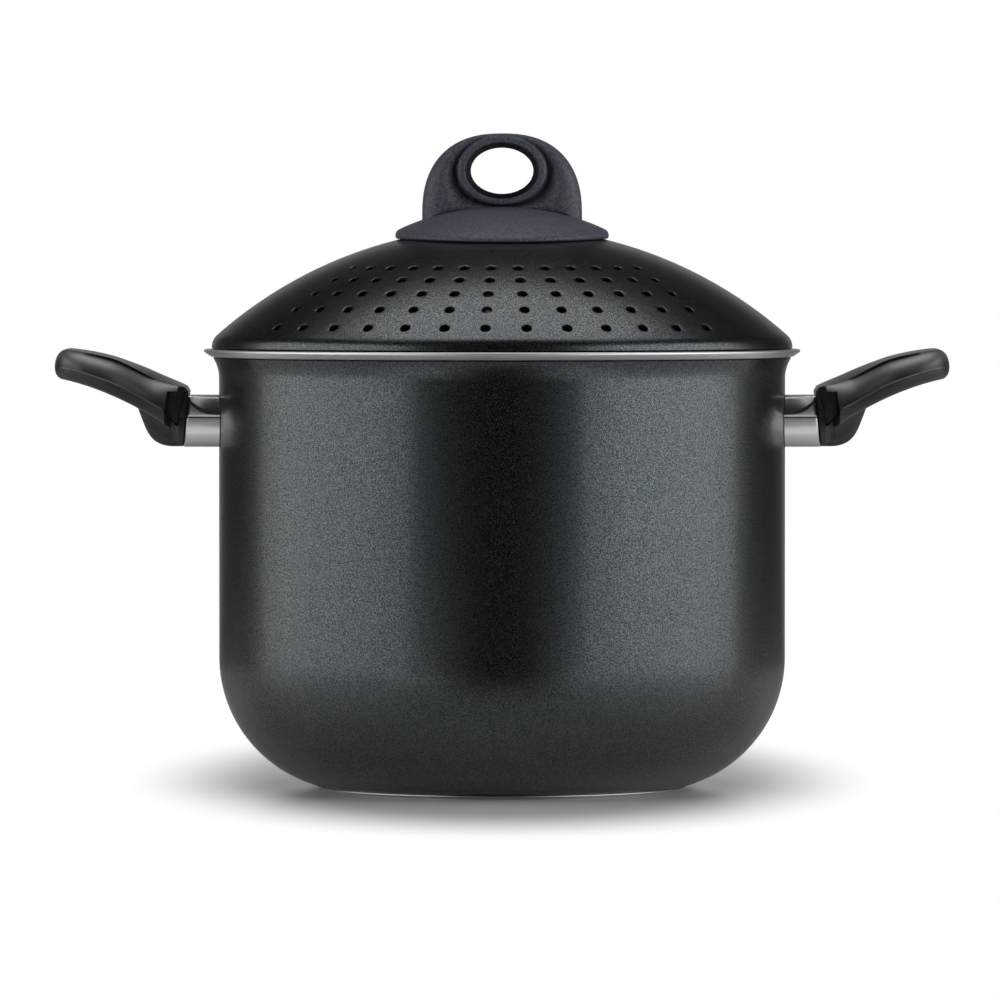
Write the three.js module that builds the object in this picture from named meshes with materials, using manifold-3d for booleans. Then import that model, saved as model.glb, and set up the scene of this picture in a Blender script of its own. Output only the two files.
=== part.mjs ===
import * as THREE from 'three';
import { mergeVertices } from 'three/addons/utils/BufferGeometryUtils.js';
import Module from 'manifold-3d';

const wasm = await Module();
wasm.setup();

// Pasta pot with a strainer lid, millimetres, +Z up, handles along X, strainer towards -Y

// Clear gap between neighbours
const GAP = 0.3;

// Pot
const RIM_Z = 190;
const WALL_R = 122.5;
const WALL_T = 2.5;
const FLOOR_Z = 1.2;
const FLOOR_T = 3.5;
const CORNER_R = 57.5;
const CORNER_Z = 56.7;
const BASE_R = 79.5;
const BASE_T = 0.9;
const LIP_R = 129.2;
const LAND_R = 126.7;
const SEAT_R = 123.3;
const SEAT_DEPTH = 0.9;
const FLOOR_R = 78;
const FLARE_R = 16.3;
const FLARE_Z = RIM_Z - 12.55;
const FLARE_END = 146;
const CHAMFER_Z = RIM_Z - 1;
const MOUTH = [[1.2, RIM_Z - 3.4], [0, RIM_Z - 7.5]];
const BROKEN_EDGE = 0.5;
const ROUND_STEPS = 48;

// Lid
const DOME_R = 186;
const DOME_Z = RIM_Z - 133.1;
const LID_T = 1.8;
const LID_PAD_R = 32;
const LID_EDGE_FROM = 123.3;
const LID_EDGE_R = 7;
const LID_BOTTOM = RIM_Z - 0.55;
const PIVOT_HOLE_R = 11.5;

// Strainer holes
const HOLE_R = 2.15;
const HOLE_COLUMNS = 13;
const HOLE_ROWS = 5;
const HOLE_PITCH = 8.38;
const HOLE_TURN = -3.4;
const HOLE_FIRST_R = 78.9;
const HOLE_STEP_R = 9.93;

// Knob
const CREST_Z = RIM_Z + 61.8;
const CREST_R = 105;
const FLANGE_R = 46.2;
const FLANGE_FRONT = 51.8;
const FLANGE_T = 4;
const FLANGE_ROUND_R = 43.4;
const FLANGE_LIP_R = 41.2;
const FLANGE_BROW = 1;
const ARCH_Z = RIM_Z + 58;
const ARCH_HALF = 34.6;
const ARCH_RISE = 35.3;
const ARCH_POWER = 2.4;
const EYE_Z = RIM_Z + 77.1;
const EYE_HOLE = [13.5, 9.95];
const EYE_FACE_IN = [15.7, 11.8];
const EYE_FACE_OUT = [19.2, 14.7];
const EYE_DEPTH = 9;
const EYE_BEVEL = 2.4;
const VALLEY_DEPTH = 5.4;
const VALLEY_RISE = 3.4;
const VALLEY_DROP = 1.4;
const LOBE_DEPTH = 7.8;
const LOBE_AT = 0.4;
const WING_SUNK = 2;

// Pivot stack under the knob, from the lid down
const SEAL = { inner: 12, outer: 16.2, thick: 0.9 };
const SHOULDER_R = 17;
const STEM_R = 9.5;
const STEM_SQUARE = 12;
const BUSH = { inner: 9.8, sleeve: 11.2, flange: 15, thick: 1.4 };
const SPRING = { inner: 9.9, outer: 15, thick: 0.4, rise: 0.4 };
const BAR_T = 2;
const KNOB_WASHER = { inner: 2.8, outer: 9, thick: 1.4 };
const KNOB_SCREW = { head: 5, top: 3.6, tall: 3, shank: 2.4, long: 12.8 };
const INSERT = { inner: 2.7, outer: 4.3, long: 11.4 };
const POCKET_R = 4.6;

// Lock bar and its keepers
const BAR_WIDTH = 16;
const BAR_ARC_R = 179;
const BAR_HUB_R = 16;
const BAR_BEND_AT = 98.7;
const BAR_BEND_R = 8;
const FOOT_TOP = 179.8;
const FOOT_TIP = 112.5;
const FOOT_BEND_R = 1.5;
const KEEPER_HALF_ANGLE = 7;
const KEEPER_T = 1.5;
const KEEPER_TOP = 182.7;
const KEEPER_LOW = 149;
const LEDGE_R = 106;
const STOP_LOW = 174;
const STOP_Y = -9.6;

// Handle fixings along X, distances from the pot axis
const FIXING_Z = RIM_Z - 31;
const STUD_HOLE_R = 4.35;
const STUD = { head: 8, shank: 4, shoulder: 7, end: 5, bore: 2.7 };
const STUD_HEAD_X = [115.4, 117.5];
const STUD_SHOULDER_X = [122.9, 125];
const STUD_BORE_X = 121;
const STUD_END_X = 131;
const SCREW_SEAT_X = 145.6;
const SCREW = { head: 4.5, top: 3.2, tall: 2.9, shank: 2.4, tip: 123 };
const SCREW_WASHER = { inner: 2.8, outer: 4.7, thick: 1 };
const SCREW_HOLE_R = 2.9;
const SCREW_RECESS_R = 5.2;

// Flame guards
const GUARD_WIDE = 26;
const GUARD_TALL = 22.3;
const GUARD_T = 1.2;
const GUARD_CORNER = 9;

// Grips, distances outwards from the wall and heights from the rim
const GRIP_FACE = [[12.9, -18.9], [15.3, -41.9]];
const BLADE_TOP = [[14.5, -16.4], [40.5, -4.7], [66.4, 0.5]];
const BLADE_UNDER = [[35.3, -25.1], [53.5, -16.9], [69, -12.6]];
const BLADE_FROM = 8;
const BLADE_END = 70.7;
const BLADE_NECK = 15.5;
const BLADE_HALF_WIDE = 37;
const BLADE_SHOULDER = [21, 24];
const BLADE_SHOULDER_HALF = 30;
const BLADE_SPREAD = [24, 52];
const BLADE_ROUND_FROM = 39;
const BLADE_EDGE = 7;
const CROWN_AT = [27.4, 8.6];
const CROWN_SLOPE = 0.244;
const NECK_HALF = 13;
const NECK_LOW = 18.5;
const NECK_CURVE = [[30, -41.9], [30.8, -35.5], [34.6, -26]];
const NECK_TOP = [[34, -20], [22, -20]];
const NECK_EDGE = 2.5;
const COLLAR_HALF = 15;
const COLLAR_BACK = [[19, -41.6], [17, -15.6], [14.2, -16.9]];
const COLLAR_EDGE = 1;
const SPIGOT = { wide: 20, tall: 16, corner: 6, from: 9.1 };
const SIDE_POCKET = [[15.2, -18.6], [22, -19], [23, -27.9], [18, -33], [16.4, -32]];
const SIDE_POCKET_Y = 10.5;
const SLIT_FROM = 27;
const SLIT_TO = 59;
const SLIT_INSET = 6;
const SLIT_HALF = 0.8;
const SLIT_DEPTH = 2.2;

const radians = THREE.MathUtils.degToRad;

// Volume enclosed by a list of triangles, negative when the faces look inwards
function enclosed(points, triangles) {
  const a = new THREE.Vector3();
  const b = new THREE.Vector3();
  const c = new THREE.Vector3();
  let sum = 0;
  for (let i = 0; i < triangles.length; i += 3) {
    a.fromArray(points, triangles[i] * 3);
    b.fromArray(points, triangles[i + 1] * 3);
    c.fromArray(points, triangles[i + 2] * 3);
    sum += a.dot(b.cross(c)) / 6;
  }
  return sum;
}

// Closed body from a geometry, its vertices merged and its faces turned outwards
function solidOf(geometry) {
  const bare = geometry.clone();
  bare.deleteAttribute('normal');
  bare.deleteAttribute('uv');
  const merged = mergeVertices(bare, 1e-4);
  const points = new Float32Array(merged.attributes.position.array);
  const index = merged.index.array;
  const triangles = [];
  for (let i = 0; i < index.length; i += 3) {
    const [a, b, c] = [index[i], index[i + 1], index[i + 2]];
    if (a !== b && b !== c && c !== a) triangles.push(a, b, c);
  }
  if (enclosed(points, triangles) < 0) triangles.reverse();
  const triVerts = new Uint32Array(triangles);
  return new wasm.Manifold(new wasm.Mesh({ numProp: 3, vertProperties: points, triVerts }));
}

// Geometry of a body
function geometryOf(solid) {
  const mesh = solid.getMesh();
  const geometry = new THREE.BufferGeometry();
  const points = new Float32Array(mesh.vertProperties);
  geometry.setAttribute('position', new THREE.BufferAttribute(points, mesh.numProp));
  geometry.setIndex(Array.from(mesh.triVerts));
  geometry.computeVertexNormals();
  return geometry;
}

// Profile of [radius, height] points turned about Z
function turned(profile, steps) {
  const points = profile.map(([r, z]) => new THREE.Vector2(r, z));
  const geometry = new THREE.LatheGeometry(points, steps);
  return geometry.rotateX(Math.PI / 2);
}

// Flat ring between two radii and two heights
function ring(inner, outer, low, high, steps) {
  return turned([[inner, low], [outer, low], [outer, high], [inner, high], [inner, low]], steps);
}

// Lays a body built along Z down along +X, at the height of the handle fixings
function alongX(geometry) {
  const lay = new THREE.Matrix4().set(0, 0, 1, 0, 1, 0, 0, 0, 0, 1, 0, 0, 0, 0, 0, 1);
  return geometry.applyMatrix4(lay).translate(0, 0, FIXING_Z);
}

// Points of an arc from one angle to another, degrees
function arc(x, y, radius, from, to, steps) {
  const points = [];
  for (let i = 0; i <= steps; i += 1) {
    const angle = radians(from + ((to - from) * i) / steps);
    points.push([x + radius * Math.cos(angle), y + radius * Math.sin(angle)]);
  }
  return points;
}

// Closed skin over rows of points; the last row joins the first, or both ends are capped
function skin(rows, joined) {
  const count = rows[0].length;
  const positions = rows.flat(2);
  const index = [];
  const last = joined ? rows.length : rows.length - 1;
  for (let i = 0; i < last; i += 1) {
    const here = i * count;
    const next = ((i + 1) % rows.length) * count;
    for (let j = 0; j < count; j += 1) {
      const k = (j + 1) % count;
      index.push(here + j, here + k, next + k, here + j, next + k, next + j);
    }
  }
  if (!joined) {
    const end = (rows.length - 1) * count;
    for (let j = 1; j < count - 1; j += 1) {
      index.push(0, j + 1, j, end, end + j, end + j + 1);
    }
  }
  const geometry = new THREE.BufferGeometry();
  geometry.setAttribute('position', new THREE.Float32BufferAttribute(positions, 3));
  geometry.setIndex(index);
  return geometry;
}

// Outline in the X-Z plane, given thickness along Y
function slab(shape, half, bevel) {
  const round = {
    bevelEnabled: bevel > 0,
    bevelSize: bevel,
    bevelOffset: -bevel,
    bevelThickness: bevel,
    bevelSegments: bevel > 2 ? 2 : 1,
  };
  const depth = 2 * (half - bevel);
  const geometry = new THREE.ExtrudeGeometry(shape, { depth, curveSegments: 8, ...round });
  return geometry.rotateX(Math.PI / 2).translate(0, half - bevel, 0);
}

// Rectangle with rounded corners about the origin
function roundedBox(wide, tall, radius) {
  const [w, h] = [wide / 2, tall / 2];
  const shape = new THREE.Shape();
  shape.moveTo(w, -h + radius);
  shape.absarc(w - radius, h - radius, radius, 0, Math.PI / 2);
  shape.absarc(-w + radius, h - radius, radius, Math.PI / 2, Math.PI);
  shape.absarc(-w + radius, -h + radius, radius, Math.PI, 1.5 * Math.PI);
  shape.absarc(w - radius, -h + radius, radius, 1.5 * Math.PI, 2 * Math.PI);
  return shape;
}

// Ring sector about the X axis direction, raised from one height to another
function sector(inner, outer, halfAngle, low, high) {
  const half = radians(halfAngle);
  const shape = new THREE.Shape();
  shape.absarc(0, 0, outer, -half, half, false);
  shape.absarc(0, 0, inner, half, -half, true);
  const options = { depth: high - low, curveSegments: 6, bevelEnabled: false };
  return solidOf(new THREE.ExtrudeGeometry(shape, options).translate(0, 0, low));
}

// Rod along X from one distance to another
function rod(radius, from, to, steps) {
  return solidOf(alongX(turned([[0, from], [radius, from], [radius, to], [0, to]], steps)));
}

// Smooth curve through three points
function through([[x0, y0], [x1, y1], [x2, y2]], x) {
  const first = (y1 - y0) / (x1 - x0);
  const second = ((y2 - y1) / (x2 - x1) - first) / (x2 - x0);
  return y0 + first * (x - x0) + second * (x - x0) * (x - x1);
}

// Radius of an ellipse or fuller curve in a direction
function curveRadius([a, b], power, angle) {
  const x = Math.abs(Math.cos(angle)) / a;
  const y = Math.abs(Math.sin(angle)) / b;
  return (x ** power + y ** power) ** (-1 / power);
}

// Height of a spherical cap with its crest on the axis
function capHeight(crest, radius, r) {
  return crest - radius + Math.sqrt(radius * radius - r * r);
}

function domeHeight(radius, r) {
  return DOME_Z + Math.sqrt(radius * radius - r * r);
}

// Heights in the pivot stack
const PAD_TOP = domeHeight(DOME_R, LID_PAD_R);
const SEAL_TOP = PAD_TOP + GAP + SEAL.thick;
const SHOULDER_Z = SEAL_TOP + GAP;
const BUSH_LOW = PAD_TOP - LID_T - GAP - BUSH.thick;
const SPRING_LOW = BUSH_LOW - GAP - SPRING.thick - SPRING.rise;
const BAR_TOP = SPRING_LOW - GAP;
const BAR_LOW = BAR_TOP - BAR_T;
const WASHER_LOW = BAR_LOW - GAP - KNOB_WASHER.thick;
const SCREW_TOP = WASHER_LOW - GAP;
const INSERT_LOW = BAR_LOW + GAP;

// Pot body, in four rings and discs that follow each other: floor, corner, wall and rim
const INNER_R = WALL_R - WALL_T;

function makeFloor() {
  const top = FLOOR_Z + FLOOR_T;
  return solidOf(turned([[0, FLOOR_Z], [FLOOR_R, FLOOR_Z], [FLOOR_R, top], [0, top]], ROUND_STEPS));
}

function makeCorner() {
  const middle = WALL_R - CORNER_R;
  const inside = CORNER_R - WALL_T;
  const from = FLOOR_R + GAP;
  const outerStart = -Math.asin((CORNER_Z - FLOOR_Z) / CORNER_R) * THREE.MathUtils.RAD2DEG;
  const innerStart = -Math.asin((CORNER_Z - FLOOR_Z - FLOOR_T) / inside) * THREE.MathUtils.RAD2DEG;
  const profile = [
    [from, FLOOR_Z],
    ...arc(middle, CORNER_Z, CORNER_R, outerStart, 0, 8),
    ...arc(middle, CORNER_Z, inside, 0, innerStart, 6),
    [from, FLOOR_Z + FLOOR_T],
    [from, FLOOR_Z],
  ];
  return solidOf(turned(profile, ROUND_STEPS));
}

function makeWall() {
  const wall = solidOf(ring(INNER_R, WALL_R, CORNER_Z + GAP, FLARE_Z - GAP, ROUND_STEPS));
  return wall.subtract(rod(STUD_HOLE_R, -LIP_R, LIP_R, 16));
}

function makeRim() {
  const profile = [
    [INNER_R, FLARE_Z],
    ...arc(WALL_R + FLARE_R, FLARE_Z, FLARE_R, 180, FLARE_END, 3),
    [LIP_R, CHAMFER_Z],
    [LIP_R, RIM_Z - BROKEN_EDGE],
    [LIP_R - BROKEN_EDGE, RIM_Z],
    [LAND_R, RIM_Z],
    [LAND_R - BROKEN_EDGE, RIM_Z - SEAT_DEPTH],
    [SEAT_R, RIM_Z - SEAT_DEPTH],
    ...MOUTH.map(([out, z]) => [INNER_R + out, z]),
    [INNER_R, FLARE_Z],
  ];
  return solidOf(turned(profile, ROUND_STEPS));
}

function makeBase() {
  const profile = [[0, 0], [BASE_R - GAP, 0], [BASE_R, GAP], [BASE_R, BASE_T], [0, BASE_T]];
  return solidOf(turned(profile, ROUND_STEPS));
}

// Lid with its sector of strainer holes, each square to the dome
function makeLid() {
  const inside = DOME_R - LID_T;
  const tilt = Math.acos(LID_EDGE_FROM / DOME_R);
  const edgeX = LID_EDGE_FROM - LID_EDGE_R * Math.cos(tilt);
  const edgeZ = domeHeight(DOME_R, LID_EDGE_FROM) - LID_EDGE_R * Math.sin(tilt);
  const padAngle = Math.acos(LID_PAD_R / DOME_R) * THREE.MathUtils.RAD2DEG;
  const edgeAngle = tilt * THREE.MathUtils.RAD2DEG;
  const profile = [
    [PIVOT_HOLE_R, PAD_TOP],
    ...arc(0, DOME_Z, DOME_R, padAngle, edgeAngle, 7),
    ...arc(edgeX, edgeZ, LID_EDGE_R, edgeAngle, 0, 3).slice(1),
    [edgeX + LID_EDGE_R, LID_BOTTOM + 0.4],
    [edgeX + LID_EDGE_R - 0.4, LID_BOTTOM],
    [edgeX + LID_EDGE_R - LID_T, LID_BOTTOM],
    ...arc(edgeX, edgeZ, LID_EDGE_R - LID_T, 0, edgeAngle, 2),
    ...arc(0, DOME_Z, inside, edgeAngle, padAngle, 6).slice(1, -1),
    [LID_PAD_R - 0.3, PAD_TOP - LID_T],
    [PIVOT_HOLE_R, PAD_TOP - LID_T],
    [PIVOT_HOLE_R, PAD_TOP],
  ];
  let lid = solidOf(turned(profile, ROUND_STEPS));
  const punch = turned([[0, inside - 5], [HOLE_R, inside - 5], [HOLE_R, DOME_R + 5], [0, DOME_R + 5]], 6);
  for (let row = 0; row < HOLE_ROWS; row += 1) {
    const lean = Math.asin((HOLE_FIRST_R + row * HOLE_STEP_R) / DOME_R);
    for (let column = 0; column < HOLE_COLUMNS; column += 1) {
      const along = HOLE_TURN + (column - (HOLE_COLUMNS - 1) / 2) * HOLE_PITCH;
      const hole = punch.clone().rotateY(lean).rotateZ(radians(along - 90));
      lid = lid.subtract(solidOf(hole.translate(0, 0, DOME_Z)));
    }
  }
  return lid;
}

function makeBush() {
  const step = BUSH_LOW + BUSH.thick;
  const profile = [
    [BUSH.inner, BUSH_LOW],
    [BUSH.flange, BUSH_LOW],
    [BUSH.flange, step],
    [BUSH.sleeve, step],
    [BUSH.sleeve, PAD_TOP],
    [BUSH.inner, PAD_TOP],
    [BUSH.inner, BUSH_LOW],
  ];
  return solidOf(turned(profile, 24));
}

function makeSeal() {
  return solidOf(ring(SEAL.inner, SEAL.outer, SEAL_TOP - SEAL.thick, SEAL_TOP, 24));
}

// Distance from the middle of the eye to the arch outline or to just inside the flange
function wingReach(angle) {
  let low = 0;
  let high = 60;
  for (let i = 0; i < 40; i += 1) {
    const middle = (low + high) / 2;
    const x = Math.abs(middle * Math.cos(angle));
    const z = EYE_Z + middle * Math.sin(angle);
    const rise = Math.max(0, z - ARCH_Z) / ARCH_RISE;
    const inArch = (x / ARCH_HALF) ** ARCH_POWER + rise ** ARCH_POWER < 1;
    if (inArch && z > capHeight(CREST_Z, CREST_R, x) - WING_SUNK) low = middle;
    else high = middle;
  }
  return low;
}

// Upright wing: a section carried once round the eye
function makeWing() {
  const rows = [];
  const steps = 36;
  for (let i = 0; i < steps; i += 1) {
    const angle = (2 * Math.PI * i) / steps;
    const hole = curveRadius(EYE_HOLE, 2, angle);
    const faceIn = curveRadius(EYE_FACE_IN, 2, angle);
    const faceOut = curveRadius(EYE_FACE_OUT, 2, angle);
    const reach = wingReach(angle);
    const rise = Math.sin(angle) > 0 ? VALLEY_RISE : VALLEY_DROP;
    const valley = VALLEY_DEPTH + rise * Math.sin(angle);
    const foot = faceOut + 0.5;
    const half = [
      [hole, EYE_DEPTH - EYE_BEVEL],
      [faceIn, EYE_DEPTH],
      [faceOut - 0.3, EYE_DEPTH],
      [foot, valley],
    ];
    for (const q of [0.2, LOBE_AT, 0.65, 0.83, 0.94, 0.985]) {
      const rising = Math.sin((Math.min(q / LOBE_AT, 1) * Math.PI) / 2);
      const falling = Math.max(0, (q - LOBE_AT) / (1 - LOBE_AT));
      const depth = (valley + (LOBE_DEPTH - valley) * rising) * Math.sqrt(1 - falling * falling);
      half.push([foot + (reach - foot) * q, depth]);
    }
    const back = half.map(([r, y]) => [r, -y]).reverse();
    const section = [...half, [reach, 0], ...back];
    rows.push(section.map(([r, y]) => [r * Math.cos(angle), y, EYE_Z + r * Math.sin(angle)]));
  }
  return solidOf(skin(rows, true));
}

// Flange drawn out to the front and back; its top stays on the cap and its underside over the dome
function madeOval(geometry) {
  const points = geometry.attributes.position;
  for (let i = 0; i < points.count; i += 1) {
    const x = points.getX(i);
    const y = points.getY(i);
    const z = points.getZ(i);
    const r = Math.hypot(x, y);
    if (r > SHOULDER_R) {
      const edge = curveRadius([FLANGE_R, FLANGE_FRONT], 2, Math.atan2(y, x));
      const grown = SHOULDER_R + ((r - SHOULDER_R) * (edge - SHOULDER_R)) / (FLANGE_R - SHOULDER_R);
      const cap = (at) => capHeight(CREST_Z, CREST_R, at);
      const onTop = z > cap(r) - FLANGE_BROW - 0.1;
      const drop = onTop ? cap(grown) - cap(r) : domeHeight(DOME_R, grown) - domeHeight(DOME_R, r);
      points.setXYZ(i, (x * grown) / r, (y * grown) / r, z + drop);
    }
  }
  return geometry;
}

// Knob: flange with its stem, the wing on top, a square end and a hole for the insert
function makeKnob() {
  const cap = (r) => capHeight(CREST_Z, CREST_R, r);
  const top = [];
  const under = [];
  for (let i = 0; i <= 5; i += 1) {
    const r = (FLANGE_ROUND_R * i) / 5;
    top.push([r, cap(r)]);
  }
  for (let i = 0; i <= 3; i += 1) {
    const r = FLANGE_LIP_R - ((FLANGE_LIP_R - SHOULDER_R) * i) / 3;
    under.push([r, cap(r) - FLANGE_T]);
  }
  const edgeLow = domeHeight(DOME_R, FLANGE_R) + GAP;
  const stemLow = BUSH_LOW;
  const profile = [
    ...top,
    [FLANGE_R - 0.8, cap(FLANGE_R)],
    [FLANGE_R, cap(FLANGE_R) - FLANGE_BROW],
    [FLANGE_R, edgeLow + 0.5],
    [FLANGE_R - 0.7, edgeLow + 0.1],
    [FLANGE_LIP_R, domeHeight(DOME_R, FLANGE_LIP_R) + GAP + 0.1],
    ...under,
    [SHOULDER_R, SHOULDER_Z],
    [STEM_R, SHOULDER_Z],
    [STEM_R, stemLow],
    [0, stemLow],
  ];
  const flange = solidOf(madeOval(turned(profile, 32)));
  const squareLow = BAR_LOW;
  const squareTall = stemLow + 1 - squareLow;
  const square = new THREE.BoxGeometry(STEM_SQUARE, STEM_SQUARE, squareTall);
  square.translate(0, 0, squareLow + squareTall / 2);
  const pocketTop = INSERT_LOW + INSERT.long + GAP;
  const pocket = turned([[0, 230], [POCKET_R, 230], [POCKET_R, pocketTop], [0, pocketTop]], 20);
  return flange.add(makeWing()).add(solidOf(square)).subtract(solidOf(pocket));
}

function makeInsert() {
  const top = INSERT_LOW + INSERT.long;
  return solidOf(ring(INSERT.inner, INSERT.outer, INSERT_LOW, top, 16));
}

function makeSpring() {
  const profile = [
    [SPRING.inner, SPRING_LOW + SPRING.rise],
    [SPRING.outer, SPRING_LOW],
    [SPRING.outer, SPRING_LOW + SPRING.thick],
    [SPRING.inner, SPRING_LOW + SPRING.rise + SPRING.thick],
    [SPRING.inner, SPRING_LOW + SPRING.rise],
  ];
  return solidOf(turned(profile, 24));
}

function makeKnobWasher() {
  const top = WASHER_LOW + KNOB_WASHER.thick;
  return solidOf(ring(KNOB_WASHER.inner, KNOB_WASHER.outer, WASHER_LOW, top, 24));
}

function makeKnobScrew() {
  const low = SCREW_TOP - KNOB_SCREW.tall;
  const tip = SCREW_TOP + KNOB_SCREW.long;
  const profile = [
    [0, low],
    [KNOB_SCREW.top, low],
    [KNOB_SCREW.head, low + 1.4],
    [KNOB_SCREW.head, SCREW_TOP],
    [KNOB_SCREW.shank, SCREW_TOP],
    [KNOB_SCREW.shank, tip],
    [0, tip],
  ];
  return solidOf(turned(profile, 16));
}

// Edge of one arm of the lock bar, on its upper face or a distance below it
function barEdge(inset) {
  const lean = Math.asin(BAR_BEND_AT / BAR_ARC_R) * THREE.MathUtils.RAD2DEG;
  const start = Math.asin(BAR_HUB_R / BAR_ARC_R) * THREE.MathUtils.RAD2DEG;
  const bendX = (BAR_ARC_R - BAR_BEND_R) * Math.sin(radians(lean));
  const bendZ = DOME_Z + (BAR_ARC_R - BAR_BEND_R) * Math.cos(radians(lean));
  const legX = bendX + BAR_BEND_R;
  const footX = legX + FOOT_BEND_R;
  const footZ = FOOT_TOP + FOOT_BEND_R;
  return [
    [0, BAR_TOP - inset],
    ...arc(0, DOME_Z, BAR_ARC_R - inset, 90 - start, 90 - lean, 7),
    ...arc(bendX, bendZ, BAR_BEND_R - inset, 90 - lean, 0, 4).slice(1),
    ...arc(footX, footZ, FOOT_BEND_R + inset, 180, 270, 3),
    [FOOT_TIP, FOOT_TOP - inset],
  ];
}

// Lock bar: one bent strip across Y with a round hub and a square hole
function makeBar() {
  const upper = barEdge(0);
  const lower = barEdge(BAR_T);
  const mirror = (edge) => edge.slice(1).map(([r, z]) => [-r, z]).reverse();
  const outline = [...mirror(upper), ...upper, ...lower.slice().reverse(), ...mirror(lower).reverse()];
  const shape = new THREE.Shape(outline.map(([x, z]) => new THREE.Vector2(x, z)));
  const strip = solidOf(slab(shape, BAR_WIDTH / 2, 0).rotateZ(Math.PI / 2));
  const hub = turned([[0, BAR_LOW], [BAR_HUB_R, BAR_LOW], [BAR_HUB_R, BAR_TOP], [0, BAR_TOP]], 32);
  const opening = STEM_SQUARE + 2 * GAP;
  const key = new THREE.BoxGeometry(opening, opening, 4 * BAR_T).translate(0, 0, BAR_LOW);
  return strip.add(solidOf(hub)).subtract(solidOf(key));
}

// Keeper: plate against the wall, ledge over the foot and a stop at one end
function makeKeeper() {
  const outer = INNER_R - GAP;
  const inner = outer - KEEPER_T;
  const plate = sector(inner, outer, KEEPER_HALF_ANGLE, KEEPER_LOW, KEEPER_TOP);
  const ledge = sector(LEDGE_R, outer, KEEPER_HALF_ANGLE, KEEPER_TOP - KEEPER_T, KEEPER_TOP);
  const deep = inner + KEEPER_T / 2 - LEDGE_R;
  const tall = KEEPER_TOP - KEEPER_T / 2 - STOP_LOW;
  const stop = new THREE.BoxGeometry(deep, KEEPER_T, tall);
  stop.translate(LEDGE_R + deep / 2, STOP_Y, STOP_LOW + tall / 2);
  const hole = rod(STUD_HOLE_R, LEDGE_R, LIP_R, 16);
  return plate.add(ledge).add(solidOf(stop)).subtract(hole);
}

// Stud: head inside the pot, shank through the wall, shoulder and threaded end outside
function makeStud() {
  const [headIn, headOut] = STUD_HEAD_X;
  const [shoulderIn, shoulderOut] = STUD_SHOULDER_X;
  const profile = [
    [0, headIn],
    [STUD.head - 1.2, headIn],
    [STUD.head, headIn + 1],
    [STUD.head, headOut],
    [STUD.shank, headOut],
    [STUD.shank, shoulderIn],
    [STUD.shoulder, shoulderIn],
    [STUD.shoulder, shoulderOut],
    [STUD.end, shoulderOut],
    [STUD.end, STUD_END_X],
    [STUD.bore, STUD_END_X],
    [STUD.bore, STUD_BORE_X],
    [0, STUD_BORE_X],
  ];
  return solidOf(alongX(turned(profile, 14)));
}

function makeHandleWasher() {
  const from = SCREW_SEAT_X + GAP;
  const washer = ring(SCREW_WASHER.inner, SCREW_WASHER.outer, from, from + SCREW_WASHER.thick, 14);
  return solidOf(alongX(washer));
}

function makeHandleScrew() {
  const under = SCREW_SEAT_X + 2 * GAP + SCREW_WASHER.thick;
  const top = under + SCREW.tall;
  const profile = [
    [0, SCREW.tip],
    [SCREW.shank, SCREW.tip],
    [SCREW.shank, under],
    [SCREW.head, under],
    [SCREW.head, top - 1.5],
    [SCREW.top, top],
    [0, top],
  ];
  return solidOf(alongX(turned(profile, 16)));
}

// Distance outwards and height from the rim, as a point in the X-Z plane
function place([out, z]) {
  return new THREE.Vector2(WALL_R + out, RIM_Z + z);
}

// Everything on one side of the sloping end face of the grip, moved outwards by a shift
function besideFace(shift, far) {
  const [[topX, topZ], [lowX, lowZ]] = GRIP_FACE;
  const lean = (lowX - topX) / (lowZ - topZ);
  const high = 10;
  const low = -60;
  const shape = new THREE.Shape([
    place([topX + lean * (high - topZ) + shift, high]),
    place([topX + lean * (low - topZ) + shift, low]),
    place([far, low]),
    place([far, high]),
  ]);
  return solidOf(slab(shape, 60, 0));
}

// Flame guard: sleeve from the curved wall to the end of the grip
function makeGuard() {
  const options = { depth: 40, curveSegments: 5, bevelEnabled: false };
  const wide = GUARD_WIDE - 2 * GUARD_T;
  const tall = GUARD_TALL - 2 * GUARD_T;
  const corner = GUARD_CORNER - GUARD_T;
  const outside = new THREE.ExtrudeGeometry(roundedBox(GUARD_WIDE, GUARD_TALL, GUARD_CORNER), options);
  const inside = new THREE.ExtrudeGeometry(roundedBox(wide, tall, corner), { ...options, depth: 50 });
  const sleeve = solidOf(alongX(outside.translate(0, 0, WALL_R - 10)));
  const bore = solidOf(alongX(inside.translate(0, 0, WALL_R - 15)));
  const wallR = WALL_R + GAP;
  const wall = solidOf(turned([[0, 100], [wallR, 100], [wallR, 200], [0, 200]], 2 * ROUND_STEPS));
  return sleeve.subtract(bore).subtract(wall).subtract(besideFace(-GAP, 60));
}

// Half-width of the blade before its end is rounded off: a shoulder beyond the neck, then a slow fan
function bladeSpread(out) {
  const { smoothstep } = THREE.MathUtils;
  const shoulder = (BLADE_SHOULDER_HALF - BLADE_NECK) * smoothstep(out, ...BLADE_SHOULDER);
  const fan = (BLADE_HALF_WIDE - BLADE_SHOULDER_HALF) * smoothstep(out, ...BLADE_SPREAD);
  return BLADE_NECK + shoulder + fan;
}

function bladeHalf(out) {
  const end = Math.max(0, (out - BLADE_ROUND_FROM) / (BLADE_END - BLADE_ROUND_FROM));
  return bladeSpread(out) * (1 - end ** 4) ** 0.25;
}

// Blade crown: the top falls away to both sides, more so towards the neck
function bladeTop(out, y) {
  const fall = THREE.MathUtils.clamp(CROWN_AT[1] - CROWN_SLOPE * (out - CROWN_AT[0]), 1, 10);
  return through(BLADE_TOP, out) - fall * (y / bladeSpread(out)) ** 2;
}

function bladeUnder(out, y) {
  return through(BLADE_UNDER, out) + 0.8 * (y / bladeSpread(out)) ** 2;
}

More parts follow.
